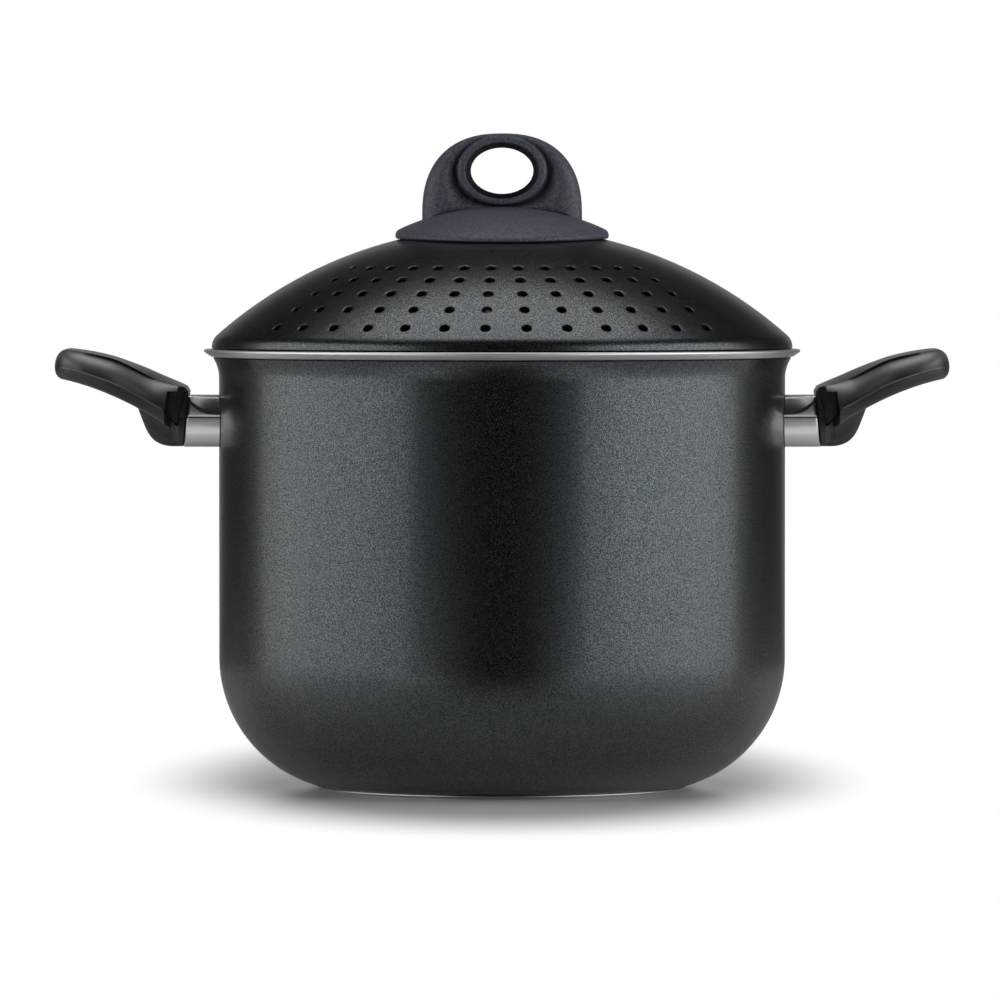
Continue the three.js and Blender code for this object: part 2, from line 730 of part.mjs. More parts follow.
// Blade: sections set along it, with a half-round edge along both sides and the end
function makeBlade() {
  const stations = 12;
  const around = 20;
  const rows = [];
  const [inner, outer] = BLADE_SHOULDER;
  const outs = [BLADE_FROM, (BLADE_FROM + inner) / 2, inner, (inner + outer) / 2];
  for (let i = 0; i <= stations; i += 1) {
    outs.push(outer + (BLADE_END - outer) * Math.sin((Math.PI * i) / stations / 2));
  }
  for (const out of outs) {
    const half = bladeHalf(out);
    const fromEnd = Math.max(0, 1 - (BLADE_END - out) / BLADE_EDGE);
    const row = [];
    for (let j = 0; j < around; j += 1) {
      const angle = (2 * Math.PI * j) / around;
      const y = half * Math.cos(angle);
      const fromSide = Math.max(0, 1 - (half - Math.abs(y)) / BLADE_EDGE);
      const round = Math.sqrt((1 - fromSide ** 2) * (1 - fromEnd ** 2));
      const top = bladeTop(out, y);
      const under = bladeUnder(out, y);
      const z = (top + under) / 2 + (Math.sign(Math.sin(angle)) * round * (top - under)) / 2;
      row.push([WALL_R + out, y, RIM_Z + z]);
    }
    rows.push(row);
  }
  return solidOf(skin(rows, false));
}

// Leaf-shaped slit that follows the crown on one side of the blade
function makeSlit(side) {
  const steps = 8;
  const rows = [];
  for (let i = 0; i <= steps; i += 1) {
    const out = SLIT_FROM + ((SLIT_TO - SLIT_FROM) * i) / steps;
    const half = SLIT_HALF * Math.sin((Math.PI * i) / steps) + 0.02;
    const y = side * (bladeSpread(out) - SLIT_INSET);
    const top = RIM_Z + bladeTop(out, y);
    const low = top - SLIT_DEPTH;
    const high = top + SLIT_DEPTH;
    const x = WALL_R + out;
    rows.push([[x, y - half, low], [x, y + half, low], [x, y + half, high], [x, y - half, high]]);
  }
  return solidOf(skin(rows, false));
}

// Neck and boss under the blade, seen from the side
function makeNeck() {
  const shape = new THREE.Shape();
  const [top, low] = GRIP_FACE;
  const curve = NECK_CURVE.map(place);
  shape.moveTo(...place(low));
  shape.lineTo(...place([NECK_LOW, low[1]]));
  shape.bezierCurveTo(...curve[0], ...curve[1], ...curve[2]);
  for (const corner of [...NECK_TOP, top]) shape.lineTo(...place(corner));
  return solidOf(slab(shape, NECK_HALF, NECK_EDGE));
}

// Collar that meets the flame guard
function makeCollar() {
  const outline = [...GRIP_FACE, ...COLLAR_BACK];
  return solidOf(slab(new THREE.Shape(outline.map(place)), COLLAR_HALF, COLLAR_EDGE));
}

// Shallow pocket in one side of the neck, between the blade and the collar
function makeSidePocket(side) {
  const deep = 10;
  const cut = slab(new THREE.Shape(SIDE_POCKET.map(place)), deep, 0);
  return solidOf(cut.translate(0, side * (SIDE_POCKET_Y + deep), 0));
}

function makeGrip() {
  const options = { depth: 9, curveSegments: 4, bevelEnabled: false };
  const spigot = new THREE.ExtrudeGeometry(roundedBox(SPIGOT.wide, SPIGOT.tall, SPIGOT.corner), options);
  spigot.translate(0, 0, WALL_R + SPIGOT.from);
  const bore = rod(SCREW_HOLE_R, WALL_R, SCREW_SEAT_X + 1, 16);
  const recess = rod(SCREW_RECESS_R, SCREW_SEAT_X, WALL_R + 45, 20);
  let grip = makeBlade().add(makeNeck()).add(makeCollar());
  grip = grip.subtract(besideFace(0, -20)).add(solidOf(alongX(spigot)));
  for (const side of [-1, 1]) {
    grip = grip.subtract(makeSlit(side)).subtract(makeSidePocket(side));
  }
  return grip.subtract(bore).subtract(recess);
}

const group = new THREE.Group();

function piece(name, solid, color, roughness, metalness, turn = 0) {
  const material = new THREE.MeshStandardMaterial({ color, roughness, metalness });
  const mesh = new THREE.Mesh(geometryOf(solid).rotateZ(turn), material);
  mesh.name = name;
  group.add(mesh);
}

// The same piece on both sides, the left one turned half round
function pair(name, solid, color, roughness, metalness) {
  piece(`${name}_right`, solid, color, roughness, metalness);
  piece(`${name}_left`, solid, color, roughness, metalness, Math.PI);
}

piece('pot_floor', makeFloor(), 0x35393d, 0.5, 0.1);
piece('pot_corner', makeCorner(), 0x35393d, 0.5, 0.1);
piece('pot_wall', makeWall(), 0x35393d, 0.5, 0.1);
piece('pot_rim', makeRim(), 0x35393d, 0.5, 0.1);
piece('base_disc', makeBase(), 0xb9bcbf, 0.35, 1);
pair('lock_keeper', makeKeeper(), 0xb4b7ba, 0.35, 1);
pair('handle_stud', makeStud(), 0xc4c6c8, 0.3, 1);
pair('flame_guard', makeGuard(), 0xd2d4d6, 0.12, 1);
pair('handle_grip', makeGrip(), 0x1d1f21, 0.6, 0);
pair('handle_screw', makeHandleScrew(), 0xa9acae, 0.35, 1);
pair('handle_washer', makeHandleWasher(), 0xa9acae, 0.4, 1);
piece('lid_shell', makeLid(), 0x3a3e42, 0.5, 0.1);
piece('pivot_bush', makeBush(), 0xe6e3da, 0.5, 0);
piece('knob_seal', makeSeal(), 0x8a3b32, 0.7, 0);
piece('twist_knob', makeKnob(), 0x2f3236, 0.6, 0);
piece('knob_insert', makeInsert(), 0xb08d45, 0.35, 1);
piece('spring_washer', makeSpring(), 0x9a9da0, 0.35, 1);
piece('lock_bar', makeBar(), 0xb4b7ba, 0.3, 1);
piece('knob_washer', makeKnobWasher(), 0xa9acae, 0.4, 1);
piece('knob_screw', makeKnobScrew(), 0xa9acae, 0.35, 1);

export default group;
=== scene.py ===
import math

import bmesh
import bpy
import numpy as np
from bpy.props import FloatProperty, FloatVectorProperty, IntProperty, PointerProperty
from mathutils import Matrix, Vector


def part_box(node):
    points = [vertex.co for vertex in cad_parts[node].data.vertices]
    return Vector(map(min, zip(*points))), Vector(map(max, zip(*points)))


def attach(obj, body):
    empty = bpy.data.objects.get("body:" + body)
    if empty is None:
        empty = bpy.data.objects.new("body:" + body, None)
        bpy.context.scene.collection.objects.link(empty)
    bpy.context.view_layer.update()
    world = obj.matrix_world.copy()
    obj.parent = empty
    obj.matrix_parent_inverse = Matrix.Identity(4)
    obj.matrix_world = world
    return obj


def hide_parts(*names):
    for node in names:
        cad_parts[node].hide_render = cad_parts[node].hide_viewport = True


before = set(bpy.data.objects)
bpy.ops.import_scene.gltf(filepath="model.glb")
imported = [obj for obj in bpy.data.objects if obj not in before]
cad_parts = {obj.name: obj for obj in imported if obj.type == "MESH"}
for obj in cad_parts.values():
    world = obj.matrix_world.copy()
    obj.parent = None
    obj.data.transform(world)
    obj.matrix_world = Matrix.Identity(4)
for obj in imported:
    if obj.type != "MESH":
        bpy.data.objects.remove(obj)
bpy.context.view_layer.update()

bl_info = {
    "name": "Pasta pot with strainer lid",
    "version": (1, 0, 0),
    "blender": (4, 5, 0),
    "location": "View3D > Sidebar > Pasta pot",
    "description": "Dresses the solids of a pasta pot with a strainer lid and sets them on a studio floor",
    "category": "Add Mesh",
}

MM = 0.001
POT_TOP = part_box("pot_rim")[1]
KNOB_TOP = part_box("twist_knob")[1]
BASE_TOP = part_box("base_disc")[1]
GRIP_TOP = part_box("handle_grip_right")[1]

# Millimetres that several pieces share: the flange's cap over the rim, the dome's radius, its middle and
# that of the handles under the rim, and the sloping end of a grip as (distance from the wall, height over
# the rim).
CREST_RISE, CREST_R = 61.8, 105.0
DOME_R, DOME_DROP = 186.0, 133.1
HANDLE_DROP = 31.0
COLLAR_TOP, COLLAR_FOOT = (12.9, -18.9), (15.3, -41.9)
COLLAR_LEAN = (COLLAR_FOOT[0] - COLLAR_TOP[0]) / (COLLAR_FOOT[1] - COLLAR_TOP[1])


# Settings

def length(label, text, default):
    """A size in metres that a user may change."""
    return FloatProperty(name=label, description=text, default=default, min=0.0, precision=4, unit="LENGTH")


def colour(label, text, default):
    """A colour that a user may change."""
    return FloatVectorProperty(
        name=label, description=text, default=default, size=3, min=0.0, max=1.0, subtype="COLOR"
    )


def radiance(label, text, default):
    """A brightness that a user may change."""
    return FloatProperty(name=label, description=text, default=default, min=0.0)


class PotSettings(bpy.types.PropertyGroup):
    """Sizes and colours of the pot body."""

    rim_height: length("Rim height", "Height of the rim over the table", POT_TOP.z)
    wall_radius: length("Wall radius", "Outer radius of the straight wall", 0.1225)
    lip_radius: length("Lip radius", "Outer radius of the rim's lip", POT_TOP.x)
    base_radius: length("Base radius", "Radius of the bare disc under the floor", BASE_TOP.x)
    coat: colour("Coat", "Dark nonstick coat of pot and lid", (0.0025, 0.003, 0.0036))
    bare: colour("Bare metal", "Uncoated metal of the rim and the base", (0.88, 0.89, 0.9))


class LidSettings(bpy.types.PropertyGroup):
    """Sizes of the lid and its strainer."""

    dome_radius: length("Dome radius", "Radius of the lid's dome", DOME_R * MM)
    hole_radius: length("Hole radius", "Radius of one strainer hole", 0.00215)
    hole_step: length("Hole step", "Distance between rows of holes, seen from above", 0.00993)
    hole_columns: IntProperty(name="Hole columns", description="Holes side by side", default=13, min=1)
    hole_rows: IntProperty(name="Hole rows", description="Rows of holes down the dome", default=5, min=1)


class KnobSettings(bpy.types.PropertyGroup):
    """Sizes and colour of the knob."""

    top_height: length("Top height", "Height of the top of the knob", KNOB_TOP.z)
    flange_radius: length("Flange radius", "Radius of the knob's round flange", KNOB_TOP.x)
    arch_half: length("Half width", "Half the width of the upright wing", 0.0346)
    plastic: colour("Plastic", "Charcoal plastic of the knob", (0.074, 0.082, 0.106))


class HandleSettings(bpy.types.PropertyGroup):
    """Sizes and colour of the two side handles."""

    reach: length("Reach", "Distance of the handle's end from the pot's axis", GRIP_TOP.x)
    half_width: length("Half width", "Half the width of the handle's blade", 0.037)
    plastic: colour("Plastic", "Soft black plastic of the grips", (0.062, 0.066, 0.069))
    steel: colour("Steel", "Polished steel of the flame guards", (0.66, 0.67, 0.68))


class StageSettings(bpy.types.PropertyGroup):
    """Floor and lamps."""

    floor: colour("Floor", "Pale floor", (0.86, 0.86, 0.86))
    side_light: radiance("Side light", "Radiance of the side lamps", 2.7)
    top_light: radiance("Top light", "Radiance of the top lamps", 1.4)
    room_light: radiance("Room light", "Radiance of the room", 0.012)


class PastaPotSettings(bpy.types.PropertyGroup):
    """All settings of the pasta pot."""

    pot: PointerProperty(type=PotSettings, name="Pot", description="Pot body")
    lid: PointerProperty(type=LidSettings, name="Lid", description="Strainer lid")
    knob: PointerProperty(type=KnobSettings, name="Knob", description="Winged knob")
    handle: PointerProperty(type=HandleSettings, name="Handles", description="Side handles")
    stage: PointerProperty(type=StageSettings, name="Stage", description="Floor and lamps")


# Surfaces

def quads(rows, columns, wrap_rows=False, wrap_columns=False):
    """Corner numbers of the faces between neighbouring rows and columns of a grid of points."""
    i = np.arange(rows if wrap_rows else rows - 1)[:, None]
    j = np.arange(columns if wrap_columns else columns - 1)[None, :]
    down = (i + 1) % rows
    right = (j + 1) % columns
    corners = [i * columns + j, i * columns + right, down * columns + right, down * columns + j]
    return np.stack(np.broadcast_arrays(*corners), -1)


def smooth(low, high, value):
    """Share from 0 at low to 1 at high, along 3t^2 - 2t^3."""
    t = np.clip((value - low) / (high - low), 0.0, 1.0)
    return t * t * (3.0 - 2.0 * t)


def through(points, x):
    """Height of the parabola through three points."""
    (x0, y0), (x1, y1), (x2, y2) = points
    first = (y1 - y0) / (x1 - x0)
    second = ((y2 - y1) / (x2 - x1) - first) / (x2 - x0)
    return y0 + first * (x - x0) + second * (x - x0) * (x - x1)


def eased(corners, setback, steps=4):
    """Outline whose inner corners are rounded: near each corner the line follows the parabola that
    leaves one side a setback before the corner and meets the next side a setback after it."""
    corners = np.asarray(corners, float)
    before, here, after = corners[..., :-2, :], corners[..., 1:-1, :], corners[..., 2:, :]
    back, ahead = before - here, after - here
    back_long = np.linalg.norm(back, axis=-1, keepdims=True) + 1e-9
    ahead_long = np.linalg.norm(ahead, axis=-1, keepdims=True) + 1e-9
    wanted = np.broadcast_to(setback, here.shape[-2:-1])[:, None]
    reach = np.minimum(wanted, 0.45 * np.minimum(back_long, ahead_long))
    start = (here + back / back_long * reach)[..., None, :]
    end = (here + ahead / ahead_long * reach)[..., None, :]
    t = np.linspace(0.0, 1.0, steps + 1)[:, None]
    curve = (1 - t) ** 2 * start + 2 * t * (1 - t) * here[..., None, :] + t * t * end
    curve = curve.reshape(*corners.shape[:-2], -1, corners.shape[-1])
    return np.concatenate([corners[..., :1, :], curve, corners[..., -1:, :]], -2)


def arc(x, y, radius, start, end, steps):
    """Points at equal angles on a circle about (x, y), from one angle to another in degrees."""
    angle = np.radians(np.linspace(start, end, steps + 1))
    return np.stack([x + radius * np.cos(angle), y + radius * np.sin(angle)], -1)


def line(start, end, steps):
    """Points at equal steps on a straight line."""
    t = np.linspace(0.0, 1.0, steps + 1)[:, None]
    return np.asarray(start) * (1 - t) + np.asarray(end) * t


def lathe(profile, steps=160):
    """Profile of (radius, height) points turned once about Z: x = r cos a, y = r sin a, z = height."""
    angle = np.linspace(0.0, 2.0 * math.pi, steps, endpoint=False)
    r, z = profile[:, :1], profile[:, 1:]
    points = np.stack([r * np.cos(angle), r * np.sin(angle), z + 0 * angle], -1)
    return points.reshape(-1, 3), quads(len(profile), steps, wrap_columns=True)


def lay_along_x(points, height):
    """Turns a body built along Z so that it lies along +X at a height."""
    return np.stack([points[:, 2], points[:, 0], points[:, 1] + height], -1)


def half_turn(points):
    """The same body on the other side, turned half round about Z."""
    return points * np.array([-1.0, -1.0, 1.0])


SIDES = (("right", np.copy), ("left", half_turn))


def make_object(name, patches, materials, sharp=35.0):
    """Object of patches (points in millimetres, faces, finish number of each face), welded where they
    meet, with its faces turned outwards and edges sharper than an angle kept crisp."""
    starts = np.cumsum([0] + [len(points) for points, _, _ in patches])
    points = np.concatenate([points for points, _, _ in patches])
    faces = np.concatenate([f.reshape(-1, 4) + s for (_, f, _), s in zip(patches, starts)])
    finish = np.concatenate([np.broadcast_to(n, f.shape[:-1]).ravel() for _, f, n in patches])
    mesh = bpy.data.meshes.new(name)
    mesh.vertices.add(len(points))
    mesh.vertices.foreach_set("co", (points * MM).astype(np.float32).ravel())
    mesh.loops.add(faces.size)
    mesh.loops.foreach_set("vertex_index", faces.astype(np.int32).ravel())
    mesh.polygons.add(len(faces))
    mesh.polygons.foreach_set("loop_start", np.arange(0, faces.size, 4, dtype=np.int32))
    mesh.polygons.foreach_set("material_index", finish.astype(np.int32))
    for material in materials:
        mesh.materials.append(material)
    mesh.update(calc_edges=True)
    work = bmesh.new()
    work.from_mesh(mesh)
    bmesh.ops.remove_doubles(work, verts=work.verts, dist=2e-6)
    bmesh.ops.recalc_face_normals(work, faces=work.faces)
    work.to_mesh(mesh)
    work.free()
    mesh.shade_smooth()
    mesh.set_sharp_from_angle(angle=math.radians(sharp))
    item = bpy.data.objects.new(name, mesh)
    bpy.context.scene.collection.objects.link(item)
    return item


def dress(item, body, slot, *nodes):
    """Lets a piece ride on a body and stand for CAD nodes, which it hides; the slot is not used."""
    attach(item, body)
    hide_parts(*nodes)


def turned_piece(name, corners, setback, material, steps=96):
    """Piece whose closed outline of (radius, height) corners is eased and turned about Z."""
    points, faces = lathe(eased(corners, setback), steps)
    return make_object(name, [(points, faces, 0)], [material])


def make_pair(name, surfaces, material, slot, node):
    """A piece of (points, faces) surfaces on each side of the pot, for the node of that side."""
    for side, turn in SIDES:
        patches = [(turn(points), faces, 0) for points, faces in surfaces]
        dress(make_object(f"{name}_{side}", patches, [material]), "pot", slot, f"{node}_{side}")


# Finishes

class Wire:
    """An output of a shader node; arithmetic with it adds Math nodes to the material."""

    def __init__(self, tree, socket=None):
        self.tree = tree
        self.socket = socket

    def node(self, kind, settings=None, inputs=None, output=0):
        """New node of a type, with its settings set first and then the values or links of its sockets."""
        node = self.tree.nodes.new(kind)
        for key, value in (settings or {}).items():
            setattr(node, key, value)
        for key, value in (inputs or {}).items():
            if isinstance(value, Wire):
                self.tree.links.new(value.socket, node.inputs[key])
            else:
                node.inputs[key].default_value = value
        return Wire(self.tree, node.outputs[output] if node.outputs else None)

    def math(self, operation, first, second=0.0):
        return self.node("ShaderNodeMath", {"operation": operation}, {0: first, 1: second})

    def __add__(self, other):
        return self.math("ADD", self, other)

    __radd__ = __add__

    def __sub__(self, other):
        return self.math("SUBTRACT", self, other)

    def __rsub__(self, other):
        return self.math("SUBTRACT", other, self)

    def __mul__(self, other):
        return self.math("MULTIPLY", self, other)

    __rmul__ = __mul__

    def __truediv__(self, other):
        return self.math("DIVIDE", self, other)

    def __rtruediv__(self, other):
        return self.math("DIVIDE", other, self)

    def __pow__(self, other):
        return self.math("POWER", self, other)


class Finish:
    """A material under way: its coordinates, its textures and its one surface shader."""

    def __init__(self, name):
        self.material = bpy.data.materials.new(name)
        self.material.use_nodes = True
        tree = self.material.node_tree
        tree.nodes.clear()
        self.wire = Wire(tree)
        self.place = self.wire.node("ShaderNodeTexCoord", output="Object")

    def stretched(self, scale):
        """Object coordinates, stretched along each axis."""
        return self.wire.node("ShaderNodeMapping", {}, {"Vector": self.place, "Scale": scale})

    def noise(self, scale, detail=2.0, rough=0.5, place=None):
        """Smooth noise from 0 to 1, with so many bumps to a metre."""
        inputs = {"Vector": place or self.place, "Scale": scale, "Detail": detail, "Roughness": rough}
        return self.wire.node("ShaderNodeTexNoise", {}, inputs, "Fac")

    def grains(self, scale):
        """Cell pattern, with so many cells to a metre."""
        inputs = {"Vector": self.place, "Scale": scale}
        return self.wire.node("ShaderNodeTexVoronoi", {}, inputs, "Distance")

    def part(self, axis):
        """One of the object coordinates."""
        return self.wire.node("ShaderNodeSeparateXYZ", {}, {"Vector": self.place}, axis)

    def from_axis(self):
        """Distance from the pot's axis."""
        x, y = self.part("X"), self.part("Y")
        return (x * x + y * y) ** 0.5

    def span(self, value, low, high, to_low=0.0, to_high=1.0):
        """Value carried smoothly from one range to another and held at the ends."""
        inputs = {"Value": value, "From Min": low, "From Max": high, "To Min": to_low, "To Max": to_high}
        return self.wire.node("ShaderNodeMapRange", {"interpolation_type": "SMOOTHSTEP"}, inputs)

    def blend(self, share, first, second):
        """Colour between two others."""
        tone = [(*c, 1.0) if isinstance(c, tuple) else c for c in (first, second)]
        inputs = {0: share, 6: tone[0], 7: tone[1]}
        return self.wire.node("ShaderNodeMix", {"data_type": "RGBA"}, inputs, 2)

    def shades(self, share, tone, low, high):
        """Colour between a darker and a lighter shade of a tone."""
        return self.blend(share, shade(tone, low), shade(tone, high))

    def bump(self, height, strength, distance, normal=None):
        """Normal tilted by a height."""
        inputs = {"Height": height, "Strength": strength, "Distance": distance}
        if normal is not None:
            inputs["Normal"] = normal
        return self.wire.node("ShaderNodeBump", {}, inputs)

    def surface(self, **inputs):
        """Closes the material with its surface shader."""
        named = {key.replace("_", " "): value for key, value in inputs.items()}
        shader = self.wire.node("ShaderNodeBsdfPrincipled", {}, named)
        self.wire.node("ShaderNodeOutputMaterial", {}, {"Surface": shader})
        return self.material

    def metal(self, share, tint, gloss, normal):
        """Closes the material as bare metal whose roughness starts at one value and grows with a share."""
        rough, more = gloss
        return self.surface(Base_Color=tint, Metallic=1.0, Roughness=rough + more * share, Normal=normal)


def shade(tone, share):
    """Colour made lighter or darker."""
    return tuple(min(1.0, c * share) for c in tone)


def finish_coat(settings):
    """Dark nonstick coat: fine hard grains, light spots, glossier flecks and soft patches of gloss."""
    f = Finish("grained_nonstick_coat")
    tone = settings.pot.coat
    grain = f.noise(2000.0, 1.0, 0.5)
    fleck = f.span(f.noise(2200.0, 0.0), 0.44, 0.6)
    spot = f.span(f.noise(2300.0, 0.0), 0.5, 0.6)
    patch = f.noise(16.0, 3.0)
    grazing = f.wire.node("ShaderNodeLayerWeight", output="Facing")
    return f.surface(
        Base_Color=f.shades(spot, tone, 0.2, 8.0),
        Roughness=0.18 + 0.04 * patch + 0.05 * grain + 0.2 * f.span(grazing, 0.55, 0.9),
        IOR=1.6,
        Specular_Tint=(0.7, 0.9, 1.0, 1.0),
        Coat_Weight=fleck,
        Coat_Roughness=0.2,
        Coat_IOR=1.75,
        Coat_Tint=(1.0, 1.0, 1.0, 1.0),
        Normal=f.bump(grain, 1.0, 0.00012),
    )


def finish_bare(settings):
    """Bare metal turned on a lathe: fine rings about the axis, in bands of unlike gloss."""
    f = Finish("turned_bare_metal")
    ring = f.wire.node("ShaderNodeCombineXYZ", {}, {"X": f.from_axis(), "Y": f.part("Z")})
    fine = f.noise(9000.0, 1.0, 0.5, ring)
    band = f.noise(700.0, 2.0, 0.5, ring)
    tint = f.shades(band, settings.pot.bare, 0.82, 1.12)
    return f.metal(band, tint, (0.33, 0.14), f.bump(fine, 0.25, 0.00008))


def finish_base(settings):
    """Bare disc under the pot: turned grooves a millimetre apart, a little scuffed."""
    f = Finish("grooved_base_metal")
    groove = f.wire.math("SINE", f.from_axis() * (2.0 * math.pi / 0.0012))
    scuff = f.noise(120.0, 5.0, 0.65)
    tint = f.shades(scuff, settings.pot.bare, 0.62, 1.0)
    return f.metal(scuff, tint, (0.24, 0.22), f.bump(groove, 0.5, 0.00012))


def finish_polished(settings):
    """Polished steel of the flame guards: hairline scratches and faint smudges."""
    f = Finish("polished_steel")
    hair = f.noise(260.0, 3.0, 0.6, f.stretched((1.0, 14.0, 14.0)))
    smudge = f.noise(70.0, 3.0)
    tint = f.shades(smudge, settings.handle.steel, 0.93, 1.05)
    return f.metal(smudge, tint, (0.13, 0.1), f.bump(hair, 0.08, 0.0001))


def finish_brushed(settings):
    """Brushed steel of the lock: long fine scratches one way."""
    f = Finish("brushed_steel")
    hair = f.noise(160.0, 4.0, 0.65, f.stretched((22.0, 1.0, 22.0)))
    tint = f.shades(hair, shade(settings.handle.steel, 0.85), 0.8, 1.12)
    return f.metal(hair, tint, (0.24, 0.18), f.bump(hair, 0.18, 0.0001))


def finish_fastener(settings):
    """Plain steel of studs, screws and washers: soft mottling and small nicks."""
    f = Finish("fastener_steel")
    mottle = f.noise(320.0, 4.0, 0.6)
    nick = f.noise(1900.0, 2.0)
    tint = f.shades(mottle, shade(settings.handle.steel, 0.78), 0.75, 1.1)
    return f.metal(mottle, tint, (0.26, 0.2), f.bump(nick, 0.2, 0.00008))


def finish_grip(settings):
    """Soft black plastic of the grips: a fine even leathery grain with worn patches, painted top light that
    makes the faces turned up paler and glossier, painted shade that darkens the rest, and painted light on
    the pocket floors, |y| < 13.5 mm."""
    f = Finish("soft_grip_plastic")
    tone, rim = settings.handle.plastic, settings.pot.rim_height
    grain = f.grains(1900.0)
    wear = f.noise(45.0, 4.0, 0.6)
    facing = f.wire.node("ShaderNodeTexCoord", output="Normal")
    # Painted top light: faces turned up get a paler colour and a higher IOR, faces turned away a darker
    # colour as painted shade.
    painted_top_light = f.span(f.wire.node("ShaderNodeSeparateXYZ", {}, {"Vector": facing}, "Z"), 0.1, 0.6)
    out, aside = (f.wire.math("ABSOLUTE", f.part(axis)) for axis in "XY")
    z = f.part("Z")
    high = f.span(z, rim - 0.033, rim - 0.0325) * f.span(z, rim - 0.0185, rim - 0.018, 1.0, 0.0)
    # Painted light on the pocket floors, which lie in shade: their colour is made much paler.
    floor = high * f.span(out, 0.145, 0.146, 1.0, 0.0) * f.span(aside, 0.0133, 0.0138, 1.0, 0.0)
    painted_shade_and_pocket_light = f.blend(floor, f.shades(wear, tone, 0.36, 0.56), shade(tone, 1.9))
    normal = f.bump(grain, 0.14, 0.00025)
    return f.surface(
        Base_Color=f.blend(painted_top_light, painted_shade_and_pocket_light, f.shades(wear, tone, 1.15, 1.8)),
        Roughness=0.3 + 0.1 * wear,
        IOR=1.5 + 0.8 * painted_top_light,
        Normal=f.bump(f.noise(5200.0, 1.0), 0.12, 0.0001, normal),
    )


def finish_knob(settings):
    """Charcoal plastic of the knob: spark-eroded grain, slightly cloudy colour, and painted shade, near
    black, on the sunk ledge, where (x / a)^2 + ((z - eye) / b)^2 < 1."""
    f = Finish("charcoal_knob_plastic")
    tone, eye = settings.knob.plastic, settings.pot.rim_height + 0.0771
    grain = f.noise(900.0, 2.5, 0.6)
    cloud = f.noise(60.0, 3.0)
    speck = f.span(grain, 0.35, 0.65)
    across, up = f.part("X") * (1 / 0.0159), (f.part("Z") - eye) * (1 / 0.0122)
    # Painted shade: the sunk ledge round the finger hole is coloured near black.
    painted_ledge_shade = f.span(across * across + up * up, 0.97, 1.03, 1.0, 0.0)
    tint = f.shades(0.25 * cloud + 0.75 * speck, tone, 0.5, 1.5)
    return f.surface(
        Base_Color=f.blend(painted_ledge_shade, tint, shade(tone, 0.12)),
        Roughness=0.44 + 0.1 * grain,
        IOR=1.5,
        Normal=f.bump(grain, 1.0, 0.0002),
    )


def finish_bush(_settings):
    """Cream plastic of the bush, a little stained in soft patches."""
    f = Finish("cream_bush_plastic")
    stain = f.noise(260.0, 4.0, 0.6)
    tint = f.blend(stain, (0.62, 0.58, 0.49), (0.78, 0.76, 0.7))
    return f.surface(
        Base_Color=tint, Roughness=0.38 + 0.14 * stain, Normal=f.bump(f.noise(2400.0), 0.12, 0.0001)
    )


def finish_seal(_settings):
    """Dull red rubber of the seal, dusty and slightly pitted."""
    f = Finish("red_seal_rubber")
    dust = f.noise(420.0, 4.0, 0.6)
    tint = f.blend(dust, (0.2, 0.035, 0.028), (0.3, 0.075, 0.062))
    return f.surface(
        Base_Color=tint, Roughness=0.6 + 0.2 * dust, Normal=f.bump(f.noise(3000.0), 0.2, 0.0001)
    )


def finish_brass(_settings):
    """Turned brass of the insert, darker in its grooves."""
    f = Finish("turned_brass")
    groove = f.wire.math("SINE", f.part("Z") * (2.0 * math.pi / 0.0006))
    dull = f.noise(500.0, 3.0)
    tint = f.blend(dull, (0.38, 0.24, 0.075), (0.56, 0.4, 0.15))
    return f.metal(dull, tint, (0.26, 0.16), f.bump(groove, 0.3, 0.0001))


MAKERS = {
    "coat": finish_coat, "bare": finish_bare, "base": finish_base, "polished": finish_polished,
    "brushed": finish_brushed, "fastener": finish_fastener, "grip": finish_grip, "knob": finish_knob,
    "bush": finish_bush, "seal": finish_seal, "brass": finish_brass,
}
MADE = {}


def finish(context, name):
    """The material of a finish, made the first time that it is asked for."""
    if name not in MADE:
        MADE[name] = MAKERS[name](context.scene.pasta_pot)
    return MADE[name]


# Pot

def pot_profile(sizes):
    """Outline of the pot, from the middle of its underside round the rim to the middle of its floor:
    a flat floor, a quarter-round corner, a straight wall, a hollow flare up to a notch, a bare chamfer, a
    land, a step that the lid sits in, and the same wall inside."""
    rim, wall, lip = sizes.rim_height / MM, sizes.wall_radius / MM, sizes.lip_radius / MM
    corner, corner_z, floor_z, floor_t, wall_t = 57.5, 56.7, 1.2, 3.5, 2.5
    flare, flare_z, bore, bore_z = 16.3, rim - 12.55, wall - wall_t, rim - 20.0
    start = -math.degrees(math.asin((corner_z - floor_z) / corner))
    inner = corner - wall_t
    inner_start = -math.degrees(math.asin((corner_z - floor_z - floor_t) / inner))
    middle = wall - corner
    low = line((0.0, floor_z), (middle + corner * math.cos(math.radians(start)), floor_z), 8)
    outside = arc(middle, corner_z, corner, start, 0.0, 30)
    straight = line((wall, corner_z), (wall, flare_z), 14)
    hollow = arc(wall + flare, flare_z, flare, 180.0, 148.0, 10)
    lip_corners = [
        hollow[-1], (wall + 2.1, rim - 3.4), (lip - 3.2, rim - 3.2), (lip - 0.15, rim - 1.05),
        (lip - 0.15, rim - 0.35), (lip - 0.6, rim), (lip - 2.5, rim), (lip - 3.0, rim - 0.9),
        (123.3, rim - 0.9), (bore + 1.2, rim - 3.4), (bore, rim - 7.5), (bore, bore_z),
    ]
    edge = eased(lip_corners, [0.1, 0.15, 0.35, 0.3, 0.3, 0.3, 0.3, 0.3, 0.6, 2.0])
    inside = line((bore, bore_z), (bore, corner_z), 12)
    bowl = arc(middle, corner_z, inner, 0.0, inner_start, 26)
    floor = line(bowl[-1], (0.0, floor_z + floor_t), 8)
    parts = [low, outside[1:], straight[1:], hollow[1:], edge[1:], inside[1:], bowl[1:], floor[1:]]
    return np.concatenate(parts)


